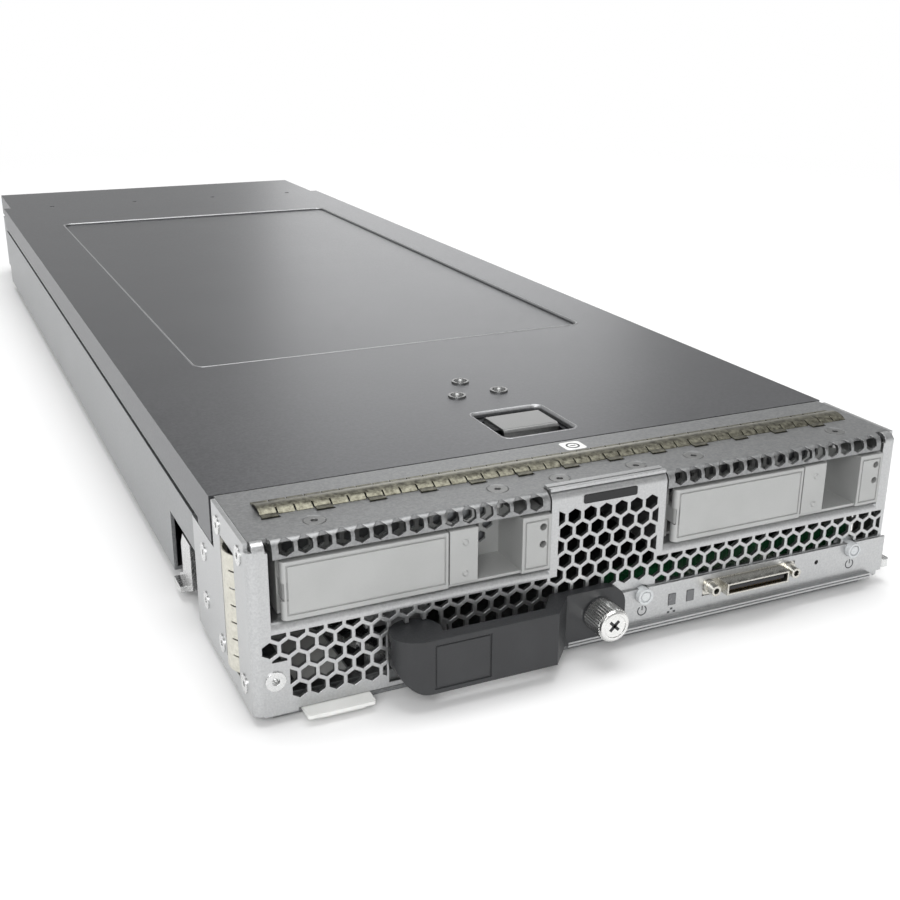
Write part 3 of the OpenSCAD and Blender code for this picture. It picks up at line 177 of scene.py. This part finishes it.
finish = {
    # the top cover: dull plated sheet, the darkest of the sheets
    "plated_cover": plated("plated_cover", "#5e5f62", "#7a7b7d", crystal=0.9, rough=0.36),
    # the tray and its flanges: the same sheet, a little paler
    "plated_tray": plated("plated_tray", "#8d8f90", "#a9aaab", crystal=0.9, rough=0.42),
    # the top panel in front of the cover: from the same coil, a shade paler than the cover
    "plated_top": plated("plated_top", "#8a8b8c", "#a4a5a5", crystal=0.8, rough=0.44),
    # the sloped wall round an embossed panel, paler than the cover: a painted highlight for its bright line
    "bead_painted_highlight": plated("bead_painted_highlight", "#a6a7a8", "#b9babb", crystal=0.8, rough=0.42),
    # the latch, cover screws and rivets: stainless drawn darker than the other stainless, painted shade
    "stainless_painted_shade": plated("stainless_painted_shade", "#8c8d8d", "#a1a1a0", crystal=0.5, rough=0.36, relief=0.004),
    # front and top panels and the control plate: bright satin sheet
    "satin_front": plated("satin_front", "#b6b7b8", "#c8c9c9", crystal=0.6, rough=0.38, relief=0.006),
    # stampings of stainless steel: latch, levers, rivets, screws
    "stainless": plated("stainless", "#cfd0d0", "#e6e6e5", crystal=0.5, rough=0.24, relief=0.004),
    # nickel on the connector's shell and its jack screws
    "nickel": plated("nickel", "#c6c4bd", "#d6d4cd", crystal=0.5, rough=0.28, relief=0.0015),
    # the machined, nickel-plated knob
    "bright_nickel": plated("bright_nickel", "#dcdcda", "#f1f1ef", crystal=0.4, rough=0.2, edge=0.12,
                            relief=0.002),
    # the bottom of the knurl's grooves, drawn dark: painted shade between the ribs
    "knurl_painted_shade": plated("knurl_painted_shade", "#6f6f6e", "#7e7e7d", crystal=0.4, rough=0.4, edge=0.12),
    # sockets, lids and clips on the board
    "board_metal": plated("board_metal", "#b4b5b4", "#cfcfcd", crystal=0.6, rough=0.3),
    "bare_aluminium": plated("bare_aluminium", "#b9babb", "#d2d3d4", crystal=0.7, rough=0.34),
    "brass": plated("brass", "#a98d4d", "#c4aa68", crystal=0.5, rough=0.3),
    "gold_contact": plated("gold_contact", "#c9a24a", "#e2c06c", crystal=0.5, rough=0.22, edge=0.05),
}
print("sheet finishes:", len(finish))

# %% [markdown]
# ## Spring strips, castings and mouldings
# The spring strips that seal the front are thin copper alloy under a dull tin plate. Handling leaves
# them mottled and slightly olive. The drive carriers are cast and bead-blasted: no crystals, but an
# even, fine pebble. The handle is moulded with a fine spark-eroded grain. Boards are glass laminate
# under a green solder mask, where the copper tracks show as slightly paler lines.

# %% Gasket strip
finish["tin_strip"] = plated("tin_strip", "#4f4d43", "#8b897b", crystal=1.3, rough=0.36, clouds=0.5,
                             relief=0.02)
finish["tin_strip_pale"] = plated("tin_strip_pale", "#c6c4b9", "#dcdad0", crystal=1.3, rough=0.42,
                                  metal=0.8, clouds=0.4, relief=0.02)


# %% Grained surfaces
def grained(name, low, high, grain, rough, depth, metal=0.0, edge=0.3, coat=0.0):
    """A cast or moulded surface: an even pebble of a given grain, and softened edges."""
    made, tree, shader, place = new_material(name)
    pebble = add(tree, "ShaderNodeTexNoise", {"Vector": place, "Scale": per_mm(grain), "Detail": 1.5})
    broad = add(tree, "ShaderNodeTexNoise", {"Vector": place, "Scale": per_mm(14), "Detail": 2.0})
    tree.links.new(blend_colour(tree, broad.outputs["Fac"], low, high), shader.inputs["Base Color"])
    tree.links.new(spread(tree, pebble.outputs["Fac"], rough - 0.06, rough + 0.06), shader.inputs["Roughness"])
    shader.inputs["Metallic"].default_value = metal
    shader.inputs["Coat Weight"].default_value = coat
    rounded = add(tree, "ShaderNodeBevel", {"Radius": edge * MM}, samples=4).outputs["Normal"]
    bump = add(tree, "ShaderNodeBump", {"Height": pebble.outputs["Fac"], "Strength": 0.5,
                                        "Distance": depth * MM, "Normal": rounded})
    tree.links.new(bump.outputs["Normal"], shader.inputs["Normal"])
    return made


finish.update({
    # die-cast zinc of the carriers, bead-blasted and clear-coated
    "blasted_casting": grained("blasted_casting", "#a9aaa9", "#aeafae", 0.5, 0.46, 0.02, metal=0.35),
    # the drives' cast covers
    "drive_casting": grained("drive_casting", "#7d7f82", "#8c8e90", 0.8, 0.45, 0.03, metal=0.8),
    # glass-filled nylon of the handle, spark-eroded grain
    "nylon_handle": grained("nylon_handle", "#27282a", "#2d2e30", 0.45, 0.44, 0.035),
    "nylon_black": grained("nylon_black", "#1b1b1d", "#242427", 0.5, 0.5, 0.02),
    # the blank plates on the handle and the panel: smoother and glossier than what carries them
    "plate_black": grained("plate_black", "#121315", "#18191b", 0.5, 0.45, 0.008),
    "tag_white": grained("tag_white", "#dedfdc", "#e8e8e6", 0.6, 0.5, 0.01),
    "ink": grained("ink", "#3b3c3e", "#434446", 0.5, 0.6, 0.004, edge=0.02),
    "sticker_white": grained("sticker_white", "#e3e3e0", "#ececea", 0.6, 0.55, 0.004, edge=0.05),
    # pale mouldings of the push buttons, and the smoked light pipes
    "button_pale": grained("button_pale", "#bfc2c4", "#cdd0d1", 0.8, 0.28, 0.004, coat=0.4),
    "lens_smoke": grained("lens_smoke", "#5a5b5d", "#666769", 0.8, 0.22, 0.004, coat=0.4),
})


# %% Circuit boards
def laminate(name, mask, track, pitch):
    """Solder mask over copper: tracks in the two directions of the board, and a glossy coat."""
    made, tree, shader, place = new_material(name)
    turned = add(tree, "ShaderNodeMapping", {"Vector": place, "Rotation": (0, 0, math.pi / 2)})
    lines = []
    for where in (place, turned.outputs["Vector"]):
        brick = add(tree, "ShaderNodeTexBrick", {
            "Vector": where, "Scale": 1.0, "Brick Width": 14 * MM, "Row Height": pitch * MM,
            "Mortar Size": 0.12 * MM, "Mortar Smooth": 0.2, "Color1": (0, 0, 0, 1), "Color2": (0, 0, 0, 1),
            "Mortar": (1, 1, 1, 1)})
        lines.append(brick.outputs["Color"])
    patch = add(tree, "ShaderNodeTexNoise", {"Vector": place, "Scale": per_mm(22), "Detail": 0.0})
    side = add(tree, "ShaderNodeMath", {0: patch.outputs["Fac"], 1: 0.5}, operation="GREATER_THAN")
    which = add(tree, "ShaderNodeMix", {"Factor": side.outputs[0], 6: lines[0], 7: lines[1]}, data_type="RGBA")
    tint = add(tree, "ShaderNodeMix", {"Factor": which.outputs[2], 6: linear(mask), 7: linear(track)},
               data_type="RGBA")
    tree.links.new(tint.outputs[2], shader.inputs["Base Color"])
    shader.inputs["Roughness"].default_value = 0.32
    bump = add(tree, "ShaderNodeBump", {"Height": which.outputs[2], "Strength": 0.3, "Distance": 0.04 * MM})
    tree.links.new(bump.outputs["Normal"], shader.inputs["Normal"])
    return made


finish["solder_mask"] = laminate("solder_mask", "#0f3d22", "#1f5a36", 1.6)
finish["memory_board"] = laminate("memory_board", "#12452a", "#22613d", 1.2)
print("finishes:", len(finish))

# %% [markdown]
# ## Finishes on the construction's solids
# Each solid of the construction stays as it is and only gets its finish, by assigning a material to
# the slots it already has.

# %% Dress the solids
DRESS = {
    "plated_cover": ["top_cover"],
    "plated_tray": ["base_tray", "latch_bracket", "latch_keeper"],
    "satin_front": ["front_panel", "control_plate", "drive_cage", "ejector_brackets"],
    # the latch, screws and rivets on the cover get a darker copy of the stainless: painted shade
    "stainless_painted_shade": ["cover_latch", "top_screws", "cover_rivets"],
    "plated_top": ["top_panel"],
    "stainless": ["ejector_lever", "ejector_pin", "side_rivets",
                  "screw_ferrule", "retaining_ring", "panel_stud", "corner_guide"],
    "nickel": ["console_shell", "jack_screws"],
    "board_metal": ["cpu_sockets", "processors", "coin_cell", "heat_sink_screws", "board_screws",
                    "guide_sockets"],
    "bare_aluminium": ["heat_sink_front", "heat_sink_rear"],
    "brass": ["board_standoffs"],
    "tin_strip": ["gasket_strip_top"],
    "tin_strip_pale": ["gasket_strips_side"],
    "blasted_casting": ["carrier_left", "carrier_right", "carrier_lever_left", "carrier_lever_right",
                        "carrier_release_left", "carrier_release_right"],
    "drive_casting": ["drive_left", "drive_right"],
    "nylon_handle": ["ejector_handle"],
    "nylon_black": ["console_insert", "drive_sockets", "dimm_sockets", "power_connector", "data_connector",
                    "reset_plunger"],
    "tag_white": ["pull_tag"],
    "button_pale": ["power_button", "beacon_button"],
    "lens_smoke": ["status_lights"],
    "solder_mask": ["motherboard", "network_card", "mezzanine_card", "storage_controller",
                    "control_board", "drive_backplane"],
    "memory_board": ["memory_modules"],
}
for name, members in DRESS.items():
    for member in members:
        mesh = nodes[member].data
        mesh.materials.clear()
        mesh.materials.append(finish[name])
dressed = sum(len(members) for members in DRESS.values())
print("dressed solids:", dressed, "of", len(nodes))

# %% [markdown]
# ## Helpers for added pieces
# Added pieces are measured from the front face, the mid-plane and the underside, in millimetres, as
# the construction is. A small set of functions turns those to metres, links the object, names its
# finish, and lets it ride on the body that carries it.

# %% Placing pieces
FRONT_Y = cad_box[0][1] / MM                    # replaced below by the front panel's own face
FRONT_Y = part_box("front_panel")[0][1] / MM


def at(x, y, z):
    """A point in metres from millimetres across, behind the front face, and up."""
    return Vector((x, y + FRONT_Y, z)) * MM


def finished(name, mesh, material, body):
    """An object for a finished mesh: its finish and its body."""
    made = bpy.data.objects.new(name, mesh)
    bpy.context.scene.collection.objects.link(made)
    if not mesh.materials:
        mesh.materials.append(finish[material])
    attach(made, body)
    print(name, "on", body, len(mesh.polygons), "faces")
    return made


def mesh_of(name, points, faces):
    """A mesh from points and faces, closed and with its normals outwards."""
    mesh = bpy.data.meshes.new(name)
    mesh.from_pydata([tuple(p) for p in points], [], faces)
    work = bmesh.new()
    work.from_mesh(mesh)
    bmesh.ops.remove_doubles(work, verts=work.verts, dist=1e-7)
    bmesh.ops.recalc_face_normals(work, faces=work.faces)
    work.to_mesh(mesh)
    work.free()
    return mesh


# %% [markdown]
# ## Geometry Nodes
# What repeats or follows a path is grown by a node tree. The tree has named inputs for its sizes. A
# helper sets each input by its socket's identifier, evaluates the tree once, and keeps the result as
# a plain mesh, so that nothing live is left on a piece when it rides on its body.

# %% Trees and what they grow
def new_tree(name, **inputs):
    """An empty geometry tree with a geometry input and named inputs of the given kinds."""
    tree = bpy.data.node_groups.new(name, "GeometryNodeTree")
    tree.interface.new_socket("Geometry", in_out="INPUT", socket_type="NodeSocketGeometry")
    tree.interface.new_socket("Geometry", in_out="OUTPUT", socket_type="NodeSocketGeometry")
    for label, kind in inputs.items():
        tree.interface.new_socket(label, in_out="INPUT", socket_type="NodeSocket" + kind)
    return tree, add(tree, "NodeGroupInput").outputs


def close_tree(tree, geometry, material):
    """Ends a tree with real geometry that carries its material."""
    real = add(tree, "GeometryNodeRealizeInstances", {"Geometry": geometry})
    coated = add(tree, "GeometryNodeSetMaterial", {"Geometry": real.outputs[0], "Material": finish[material]})
    add(tree, "NodeGroupOutput", {"Geometry": coated.outputs[0]})


def grow(tree, start, **values):
    """Runs a tree on a starting mesh with its inputs set, and gives the result as a plain mesh."""
    holder = bpy.data.objects.new("holder", start)
    bpy.context.scene.collection.objects.link(holder)
    modifier = holder.modifiers.new("grow", "NODES")
    modifier.node_group = tree
    for item in tree.interface.items_tree:
        if item.item_type == "SOCKET" and item.in_out == "INPUT" and item.name in values:
            modifier[item.identifier] = values[item.name]
    depsgraph = bpy.context.evaluated_depsgraph_get()
    mesh = bpy.data.meshes.new_from_object(holder.evaluated_get(depsgraph))
    bpy.data.objects.remove(holder)
    return mesh


def points_mesh(name, points):
    """A mesh of loose points, as the start of a tree that puts something on each."""
    mesh = bpy.data.meshes.new(name)
    mesh.from_pydata([tuple(p) for p in points], [], [])
    return mesh


# %% [markdown]
# ## The thumbscrew's knob
# The knob is turned from bar, straight-knurled, and nickel-plated. The lathe gives its core: a
# chamfered front with a shallow ring and a dished centre. The ribs of the knurl repeat round the core,
# so a tree puts one small roof-shaped rib on each point of a circle. The cross recess is a dark,
# sunken cross with real walls, painted shade that stands for the hollow of the recess.

# %% Lathed core
def lathe(profile, steps):
    """Points and faces of a closed profile of (radius, distance) pairs turned about the Y axis."""
    points, faces = [], []
    rows = len(profile)
    for i in range(steps):
        a = 2 * math.pi * i / steps
        points += [(r * math.cos(a), y, r * math.sin(a)) for r, y in profile]
    for i in range(steps):
        j = (i + 1) % steps
        for k in range(rows):
            m = (k + 1) % rows
            faces.append((i * rows + k, i * rows + m, j * rows + m, j * rows + k))
    return points, faces


screw_lo, screw_hi = (Vector(c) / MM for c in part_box("thumbscrew"))
SCREW_X, SCREW_Z = (screw_lo.x + screw_hi.x) / 2, (screw_lo.z + screw_hi.z) / 2
KNOB_R = (screw_hi.x - screw_lo.x) / 2
KNOB_FRONT = screw_lo.y - FRONT_Y               # the knob's front face, ahead of the panel
KNOB_BACK = KNOB_FRONT + 8.9
SHANK_END = screw_hi.y - FRONT_Y
core_r = KNOB_R - 0.34
profile = [
    (3.55, KNOB_BACK), (3.55, KNOB_BACK - 5.2), (0.0005, KNOB_BACK - 5.2), (0.0005, KNOB_FRONT + 0.5),
    (2.6, KNOB_FRONT + 0.42), (3.2, KNOB_FRONT + 0.3), (3.3, KNOB_FRONT + 0.02), (3.45, KNOB_FRONT),
    (core_r - 0.75, KNOB_FRONT), (core_r - 0.25, KNOB_FRONT + 0.25), (core_r, KNOB_FRONT + 0.9),
    (core_r, KNOB_BACK - 0.5), (core_r - 0.3, KNOB_BACK - 0.1), (core_r - 0.5, KNOB_BACK)]
points, faces = lathe(profile, 72)
shank = [(0.0005, SHANK_END), (1.6, SHANK_END), (2.0, SHANK_END - 0.5), (2.0, -0.75), (1.6, -0.75),
         (1.6, -1.45), (2.0, -1.45), (2.0, KNOB_BACK - 5.25), (0.0005, KNOB_BACK - 5.25)]
more_points, more_faces = lathe(shank, 40)
faces += [tuple(i + len(points) for i in face) for face in more_faces]
points += more_points
core = mesh_of("knob_core", [at(x + SCREW_X, y, z + SCREW_Z) for x, y, z in points], faces)
print("knob radius", round(KNOB_R, 2), "mm, front", round(KNOB_FRONT, 2), "mm")

# %% Knurl
knurl, given = new_tree("knurl", Ribs="Int", Radius="Float", Width="Float", Length="Float", Middle="Vector")
ring = add(knurl, "GeometryNodeMeshCircle", {"Vertices": given["Ribs"], "Radius": given["Radius"]})
rib = add(knurl, "GeometryNodeMeshCone", {"Vertices": 4, "Radius Top": given["Width"],
                                          "Radius Bottom": given["Width"], "Depth": given["Length"]})
half = add(knurl, "ShaderNodeMath", {0: given["Length"], 1: -0.5}, operation="MULTIPLY")
down = add(knurl, "ShaderNodeCombineXYZ", {"Z": half.outputs[0]})
centred = add(knurl, "GeometryNodeTransform", {"Geometry": rib.outputs["Mesh"], "Translation": down.outputs[0]})
turned = add(knurl, "GeometryNodeInstanceOnPoints", {"Points": ring.outputs[0], "Instance": centred.outputs[0]})
index = add(knurl, "GeometryNodeInputIndex")
angle = add(knurl, "ShaderNodeMath", {0: index.outputs[0]}, operation="MULTIPLY")
step = add(knurl, "ShaderNodeMath", {0: 2 * math.pi, 1: given["Ribs"]}, operation="DIVIDE")
knurl.links.new(step.outputs[0], angle.inputs[1])
spin = add(knurl, "ShaderNodeCombineXYZ", {"Z": angle.outputs[0]})
knurl.links.new(spin.outputs[0], turned.inputs["Rotation"])
laid = add(knurl, "GeometryNodeTransform", {"Geometry": turned.outputs[0], "Translation": given["Middle"],
                                            "Rotation": (math.pi / 2, 0, 0)})
close_tree(knurl, laid.outputs[0], "bright_nickel")
middle = at(SCREW_X, (KNOB_FRONT + 0.95 + KNOB_BACK - 0.35) / 2, SCREW_Z)
mesh = grow(knurl, points_mesh("start", []), Ribs=36, Radius=(core_r - 0.02) * MM, Width=0.36 * MM,
            Length=(KNOB_BACK - 0.35 - KNOB_FRONT - 0.95) * MM, Middle=middle)
finished("knob_ribs", mesh, "bright_nickel", "screw")
# between the ribs the core's faces get the dark finish: painted shade in the knurl's grooves
core.materials.append(finish["bright_nickel"])
core.materials.append(finish["knurl_painted_shade"])
for face in core.polygons:
    reach = math.hypot(face.center.x / MM - SCREW_X, face.center.z / MM - SCREW_Z)
    if reach > core_r - 0.1 and abs(face.normal.y) < 0.3:
        face.material_index = 1
knob = finished("knob_core", core, "bright_nickel", "screw")
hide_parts("thumbscrew")

# %% Cross recess
def bar_cross(half, width, depth, face_y):
    """A cross of two bars with a real thickness, lying just ahead of a face."""
    points, faces = [], []
    for a in (math.pi / 4, 3 * math.pi / 4):
        c, s = math.cos(a), math.sin(a)
        base = len(points)
        for y in (face_y, face_y + depth):
            for u, v in ((-half, -width), (half, -width), (half, width), (-half, width)):
                points.append(at(SCREW_X + u * c - v * s, y, SCREW_Z + u * s + v * c))
        q = [base + i for i in range(8)]
        faces += [(q[0], q[1], q[2], q[3]), (q[7], q[6], q[5], q[4])]
        faces += [(q[i], q[(i + 1) % 4], q[4 + (i + 1) % 4], q[4 + i]) for i in range(4)]
    return mesh_of("cross", points, faces)


# the black cross is painted shade that stands for the hollow of the knob's cross recess
recess = finished("knob_cross_painted_shade", bar_cross(1.9, 0.42, 0.3, KNOB_FRONT + 0.34), "nylon_black", "screw")

# %% [markdown]
# ## Embossed beads in the cover
# The long panel in the cover is pressed down by less than a millimetre. The press leaves a sloped wall,
# not a sharp step, and that slope is the fine bright line round the recess, drawn paler than the cover
# as a painted highlight. A profile swept round a filleted rectangle gives it, so a tree follows the path:
# rectangle, fillet, sweep.

# %% Sloped walls
emboss, given = new_tree("emboss", Long="Float", Wide="Float", Corner="Float", Run="Float", Drop="Float", Lip="Float",
                         Middle="Vector")
outline = add(emboss, "GeometryNodeCurvePrimitiveQuadrilateral", {"Width": given["Wide"], "Height": given["Long"]})
eased = add(emboss, "GeometryNodeFilletCurve", {"Curve": outline.outputs[0], "Radius": given["Corner"], "Count": 8},
            mode="POLY")
# across the path, the profile's X points outwards and its Y downwards
inward = add(emboss, "ShaderNodeMath", {0: given["Run"], 1: -1.0}, operation="MULTIPLY").outputs[0]
crest = add(emboss, "ShaderNodeMath", {0: given["Lip"], 1: -1.0}, operation="MULTIPLY").outputs[0]
corners = [add(emboss, "ShaderNodeCombineXYZ", {"X": x, "Y": y}).outputs[0] for x, y in (
    (given["Run"], 0.0), (0.0, crest), (inward, given["Drop"]), (0.0, given["Drop"]))]
slope = add(emboss, "GeometryNodeCurvePrimitiveQuadrilateral",
            {f"Point {i + 1}": corner for i, corner in enumerate(corners)}, mode="POINTS")
swept = add(emboss, "GeometryNodeCurveToMesh", {"Curve": eased.outputs[0], "Profile Curve": slope.outputs[0]})
moved = add(emboss, "GeometryNodeTransform", {"Geometry": swept.outputs[0], "Translation": given["Middle"]})
# the sloped wall gets a finish paler than the cover: a painted highlight
close_tree(emboss, moved.outputs[0], "bead_painted_highlight")

COVER_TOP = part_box("top_cover")[1][2] / MM
for name, x, y, corner, run, drop, lip in (
        ("recess_bead", (-76, 80.5), (154, 474), 4, 0.7, 0.86, 0.2),
        ("latch_dish_bead", (-10.0, 15.2), (43.4, 69.1), 2.6, 0.7, 1.6, 0.15)):
    mesh = grow(emboss, points_mesh("start", []), Wide=(x[1] - x[0]) * MM, Long=(y[1] - y[0]) * MM,
                Corner=corner * MM, Run=run * MM, Drop=drop * MM, Lip=lip * MM,
                Middle=at((x[0] + x[1]) / 2, (y[0] + y[1]) / 2, COVER_TOP - 0.02))
    print(name, [round(v / MM, 2) for v in (min(p.co.z for p in mesh.vertices), max(p.co.z for p in mesh.vertices),
                                            min(p.co.x for p in mesh.vertices), max(p.co.x for p in mesh.vertices))])
    finished(name, mesh, "bead_painted_highlight", "cover")

# %% [markdown]
# ## Contacts of the console socket
# Two rows of gilt contacts stand on the socket's black tongue. One contact is a thin blade, and a tree
# repeats it on a grid of points.

# %% Contacts
contacts, given = new_tree("contacts", Across="Float", Deep="Float", High="Float")
blade = add(contacts, "ShaderNodeCombineXYZ", {"X": given["Across"], "Y": given["Deep"], "Z": given["High"]})
cube = add(contacts, "GeometryNodeMeshCube", {"Size": blade.outputs[0]})
set_out = add(contacts, "GeometryNodeInstanceOnPoints", {"Points": given["Geometry"], "Instance": cube.outputs[0]})
close_tree(contacts, set_out.outputs[0], "gold_contact")
insert_lo, insert_hi = (Vector(c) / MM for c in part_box("console_insert"))
mid_z = (insert_lo.z + insert_hi.z) / 2
first, pitch = insert_lo.x + 1.75, (insert_hi.x - insert_lo.x - 3.5) / 17
spots = [at(first + i * pitch, insert_lo.y - FRONT_Y + 1.5, mid_z + side * 0.86)
         for i in range(18) for side in (-1, 1)]
mesh = grow(contacts, points_mesh("start", spots), Across=0.5 * MM, Deep=2.2 * MM, High=0.16 * MM)
finished("console_contacts", mesh, "gold_contact", "chassis")

# %% [markdown]
# ## Small plates and printed marks
# The panel carries a bare dark plate at its middle, the top panel a round white sticker, and the
# control plate a few printed marks: a ring with a bar under each push button, and joined squares under
# a light. Ink has almost no thickness, so each mark is a flat shape 0.04 mm thick.

# %% Flat shapes
def slab(outline, low, high, along):
    """A closed slab from an outline in two directions, between two distances along the third."""
    n = len(outline)
    place = {"y": lambda u, v, w: at(u, w, v), "z": lambda u, v, w: at(u, v, w)}[along]
    points = [place(u, v, w) for w in (low, high) for u, v in outline]
    faces = [tuple(range(n)), tuple(range(2 * n - 1, n - 1, -1))]
    return points, faces + [(i, (i + 1) % n, n + (i + 1) % n, n + i) for i in range(n)]


def ring_slab(x, z, outer, inner, low, high, along, start=0.0, sweep=2 * math.pi, steps=28):
    """A flat ring or part of one, as a run of small quads with real thickness."""
    parts = []
    for i in range(steps):
        a, b = (start + sweep * k / steps for k in (i, i + 1))
        parts.append(slab([(x + r * math.cos(t), z + r * math.sin(t)) for r, t in (
            (inner, a), (outer, a), (outer, b), (inner, b))], low, high, along))
    return parts


def gather(name, parts):
    """One mesh from several sets of points and faces."""
    points, faces = [], []
    for more, sides in parts:
        faces += [tuple(i + len(points) for i in side) for side in sides]
        points += more
    return mesh_of(name, points, faces)


def box_outline(x0, x1, z0, z1, corner=0.0, steps=5):
    """A rectangle's outline, with rounded corners if a radius is given."""
    if not corner:
        return [(x0, z0), (x1, z0), (x1, z1), (x0, z1)]
    made = []
    for cx, cz, a in ((x1 - corner, z0 + corner, -90), (x1 - corner, z1 - corner, 0),
                      (x0 + corner, z1 - corner, 90), (x0 + corner, z0 + corner, 180)):
        for k in range(steps + 1):
            t = math.radians(a + 90 * k / steps)
            made.append((cx + corner * math.cos(t), cz + corner * math.sin(t)))
    return made


# %% Plates and sticker
finished("panel_plate", gather("panel_plate", [slab(box_outline(-8.4, 8.4, 45.5, 48.1, 0.5), -0.22, 0.1, "y")]),
         "plate_black", "chassis")
TOP_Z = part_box("top_panel")[1][2] / MM
finished("sticker", gather("sticker", [slab(box_outline(2.0, 8.8, 27.0, 33.4, 1.2), TOP_Z - 0.05, TOP_Z + 0.06, "z")]),
         "sticker_white", "chassis")
finished("sticker_ring", gather("sticker_ring", ring_slab(5.4, 30.2, 2.1, 1.55, TOP_Z, TOP_Z + 0.1, "z")
                                + [slab(box_outline(4.5, 6.3, 29.95, 30.45), TOP_Z, TOP_Z + 0.1, "z")]),
         "ink", "chassis")

# %% Printed marks
PLATE_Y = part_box("control_plate")[0][1] / MM - FRONT_Y
face_y = -0.8
marks = []
for x, z in ((12, 9.4), (87.7, 9.4)):
    marks += ring_slab(x, z, 1.6, 1.25, face_y - 0.04, face_y + 0.1, "y", math.radians(125), math.radians(290))
    marks.append(slab(box_outline(x - 0.16, x + 0.16, z + 0.1, z + 1.5), face_y - 0.04, face_y + 0.1, "y"))
for x, z in ((22.1, 7.9), (21.1, 6.9), (23.1, 6.9)):
    marks.append(slab(box_outline(x - 0.4, x + 0.4, z - 0.32, z + 0.32), face_y - 0.04, face_y + 0.1, "y"))
finished("printed_marks", gather("printed_marks", marks), "ink", "chassis")

# %% [markdown]
# ## Floor and light
# The server stands on a plain pale floor that keeps its shadow. Large soft lamps light it from the
# front left and from behind on the right, where their reflection runs along the satin cover. The world
# is pale to every ray that looks at it or is mirrored by metal, and dimmer to the rays that only fill
# the shadows.

# %% Floor
floor_mesh = bpy.data.meshes.new("floor")
reach = 6.0
floor_mesh.from_pydata([(-reach, -reach, -0.0002), (reach, -reach, -0.0002), (reach, reach, -0.0002),
                        (-reach, reach, -0.0002)], [], [(0, 1, 2, 3)])
floor = bpy.data.objects.new("floor", floor_mesh)
bpy.context.scene.collection.objects.link(floor)
made, tree, shader, place = new_material("pale_floor")
shader.inputs["Base Color"].default_value = linear("#f4f4f4")
shader.inputs["Roughness"].default_value = 0.9
shader.inputs["Specular IOR Level"].default_value = 0.1
# away from the server the floor turns into the white backdrop, so that no horizon shows
far = add(tree, "ShaderNodeVectorMath", {0: place}, operation="LENGTH").outputs["Value"]
fade = add(tree, "ShaderNodeMapRange", {"Value": far, "From Min": 0.45, "From Max": 1.1},
           interpolation_type="SMOOTHSTEP")
looks = add(tree, "ShaderNodeLightPath").outputs
white = add(tree, "ShaderNodeMath", {0: fade.outputs["Result"], 1: looks["Is Camera Ray"]}, operation="MULTIPLY")
glow = add(tree, "ShaderNodeEmission", {"Color": linear("#ffffff"), "Strength": 1.0})
backdrop = add(tree, "ShaderNodeMixShader", {0: white.outputs[0], 1: shader.outputs[0], 2: glow.outputs[0]})
end = next(n for n in tree.nodes if n.type == "OUTPUT_MATERIAL")
tree.links.new(backdrop.outputs[0], end.inputs["Surface"])
floor_mesh.materials.append(made)

# %% World
FILL, CEILING = 0.55, 0.42                      # strengths in shadows, and overhead in mirrors
world = bpy.data.worlds.new("studio")
bpy.context.scene.world = world
world.use_nodes = True
tree = world.node_tree
tree.nodes.clear()
path = add(tree, "ShaderNodeLightPath").outputs
seen = add(tree, "ShaderNodeMath", {0: path["Is Camera Ray"], 1: path["Is Glossy Ray"]}, operation="MAXIMUM")
seen = add(tree, "ShaderNodeMath", {0: seen.outputs[0], 1: path["Is Transmission Ray"]}, operation="MAXIMUM")
# in mirrors the backdrop is white at the horizon, and the studio's ceiling above it is dimmer
ray = add(tree, "ShaderNodeTexCoord").outputs["Generated"]
height = add(tree, "ShaderNodeSeparateXYZ", {0: ray}).outputs["Z"]
ceiling = add(tree, "ShaderNodeMapRange", {"Value": height, "From Min": 0.02, "From Max": 0.3,
                                           "To Min": 1.0, "To Max": CEILING})
shown = add(tree, "ShaderNodeMath", {0: ceiling.outputs["Result"], 1: path["Is Camera Ray"]}, operation="MAXIMUM")
level = add(tree, "ShaderNodeMix", {0: seen.outputs[0], 2: FILL, 3: shown.outputs[0]}, data_type="FLOAT")
sky = add(tree, "ShaderNodeBackground", {"Color": linear("#ffffff"), "Strength": level.outputs[0]})
add(tree, "ShaderNodeOutputWorld", {"Surface": sky.outputs[0]})


# %% Lamps
def lamp(name, at_point, target, size, watts):
    """A square area lamp that looks at a point."""
    data = bpy.data.lights.new(name, "AREA")
    data.shape, data.size, data.energy = "SQUARE", size, watts
    made = bpy.data.objects.new(name, data)
    bpy.context.scene.collection.objects.link(made)
    direction = Vector(target) - Vector(at_point)
    made.matrix_world = Matrix.Translation(at_point) @ direction.to_track_quat("-Z", "Y").to_matrix().to_4x4()
    return made


lamp("key_front", (-0.9, -1.8, 1.1), (0, -0.2, 0), 1.0, 22)
lamp("top_fill", (0.1, 0.1, 2.2), (0, 0, 0), 1.6, 30)
lamp("back_right", (0.95, 1.85, 0.52), (0.02, 0, 0.05), 0.8, 2.8)
bpy.context.scene.view_settings.view_transform = "Standard"
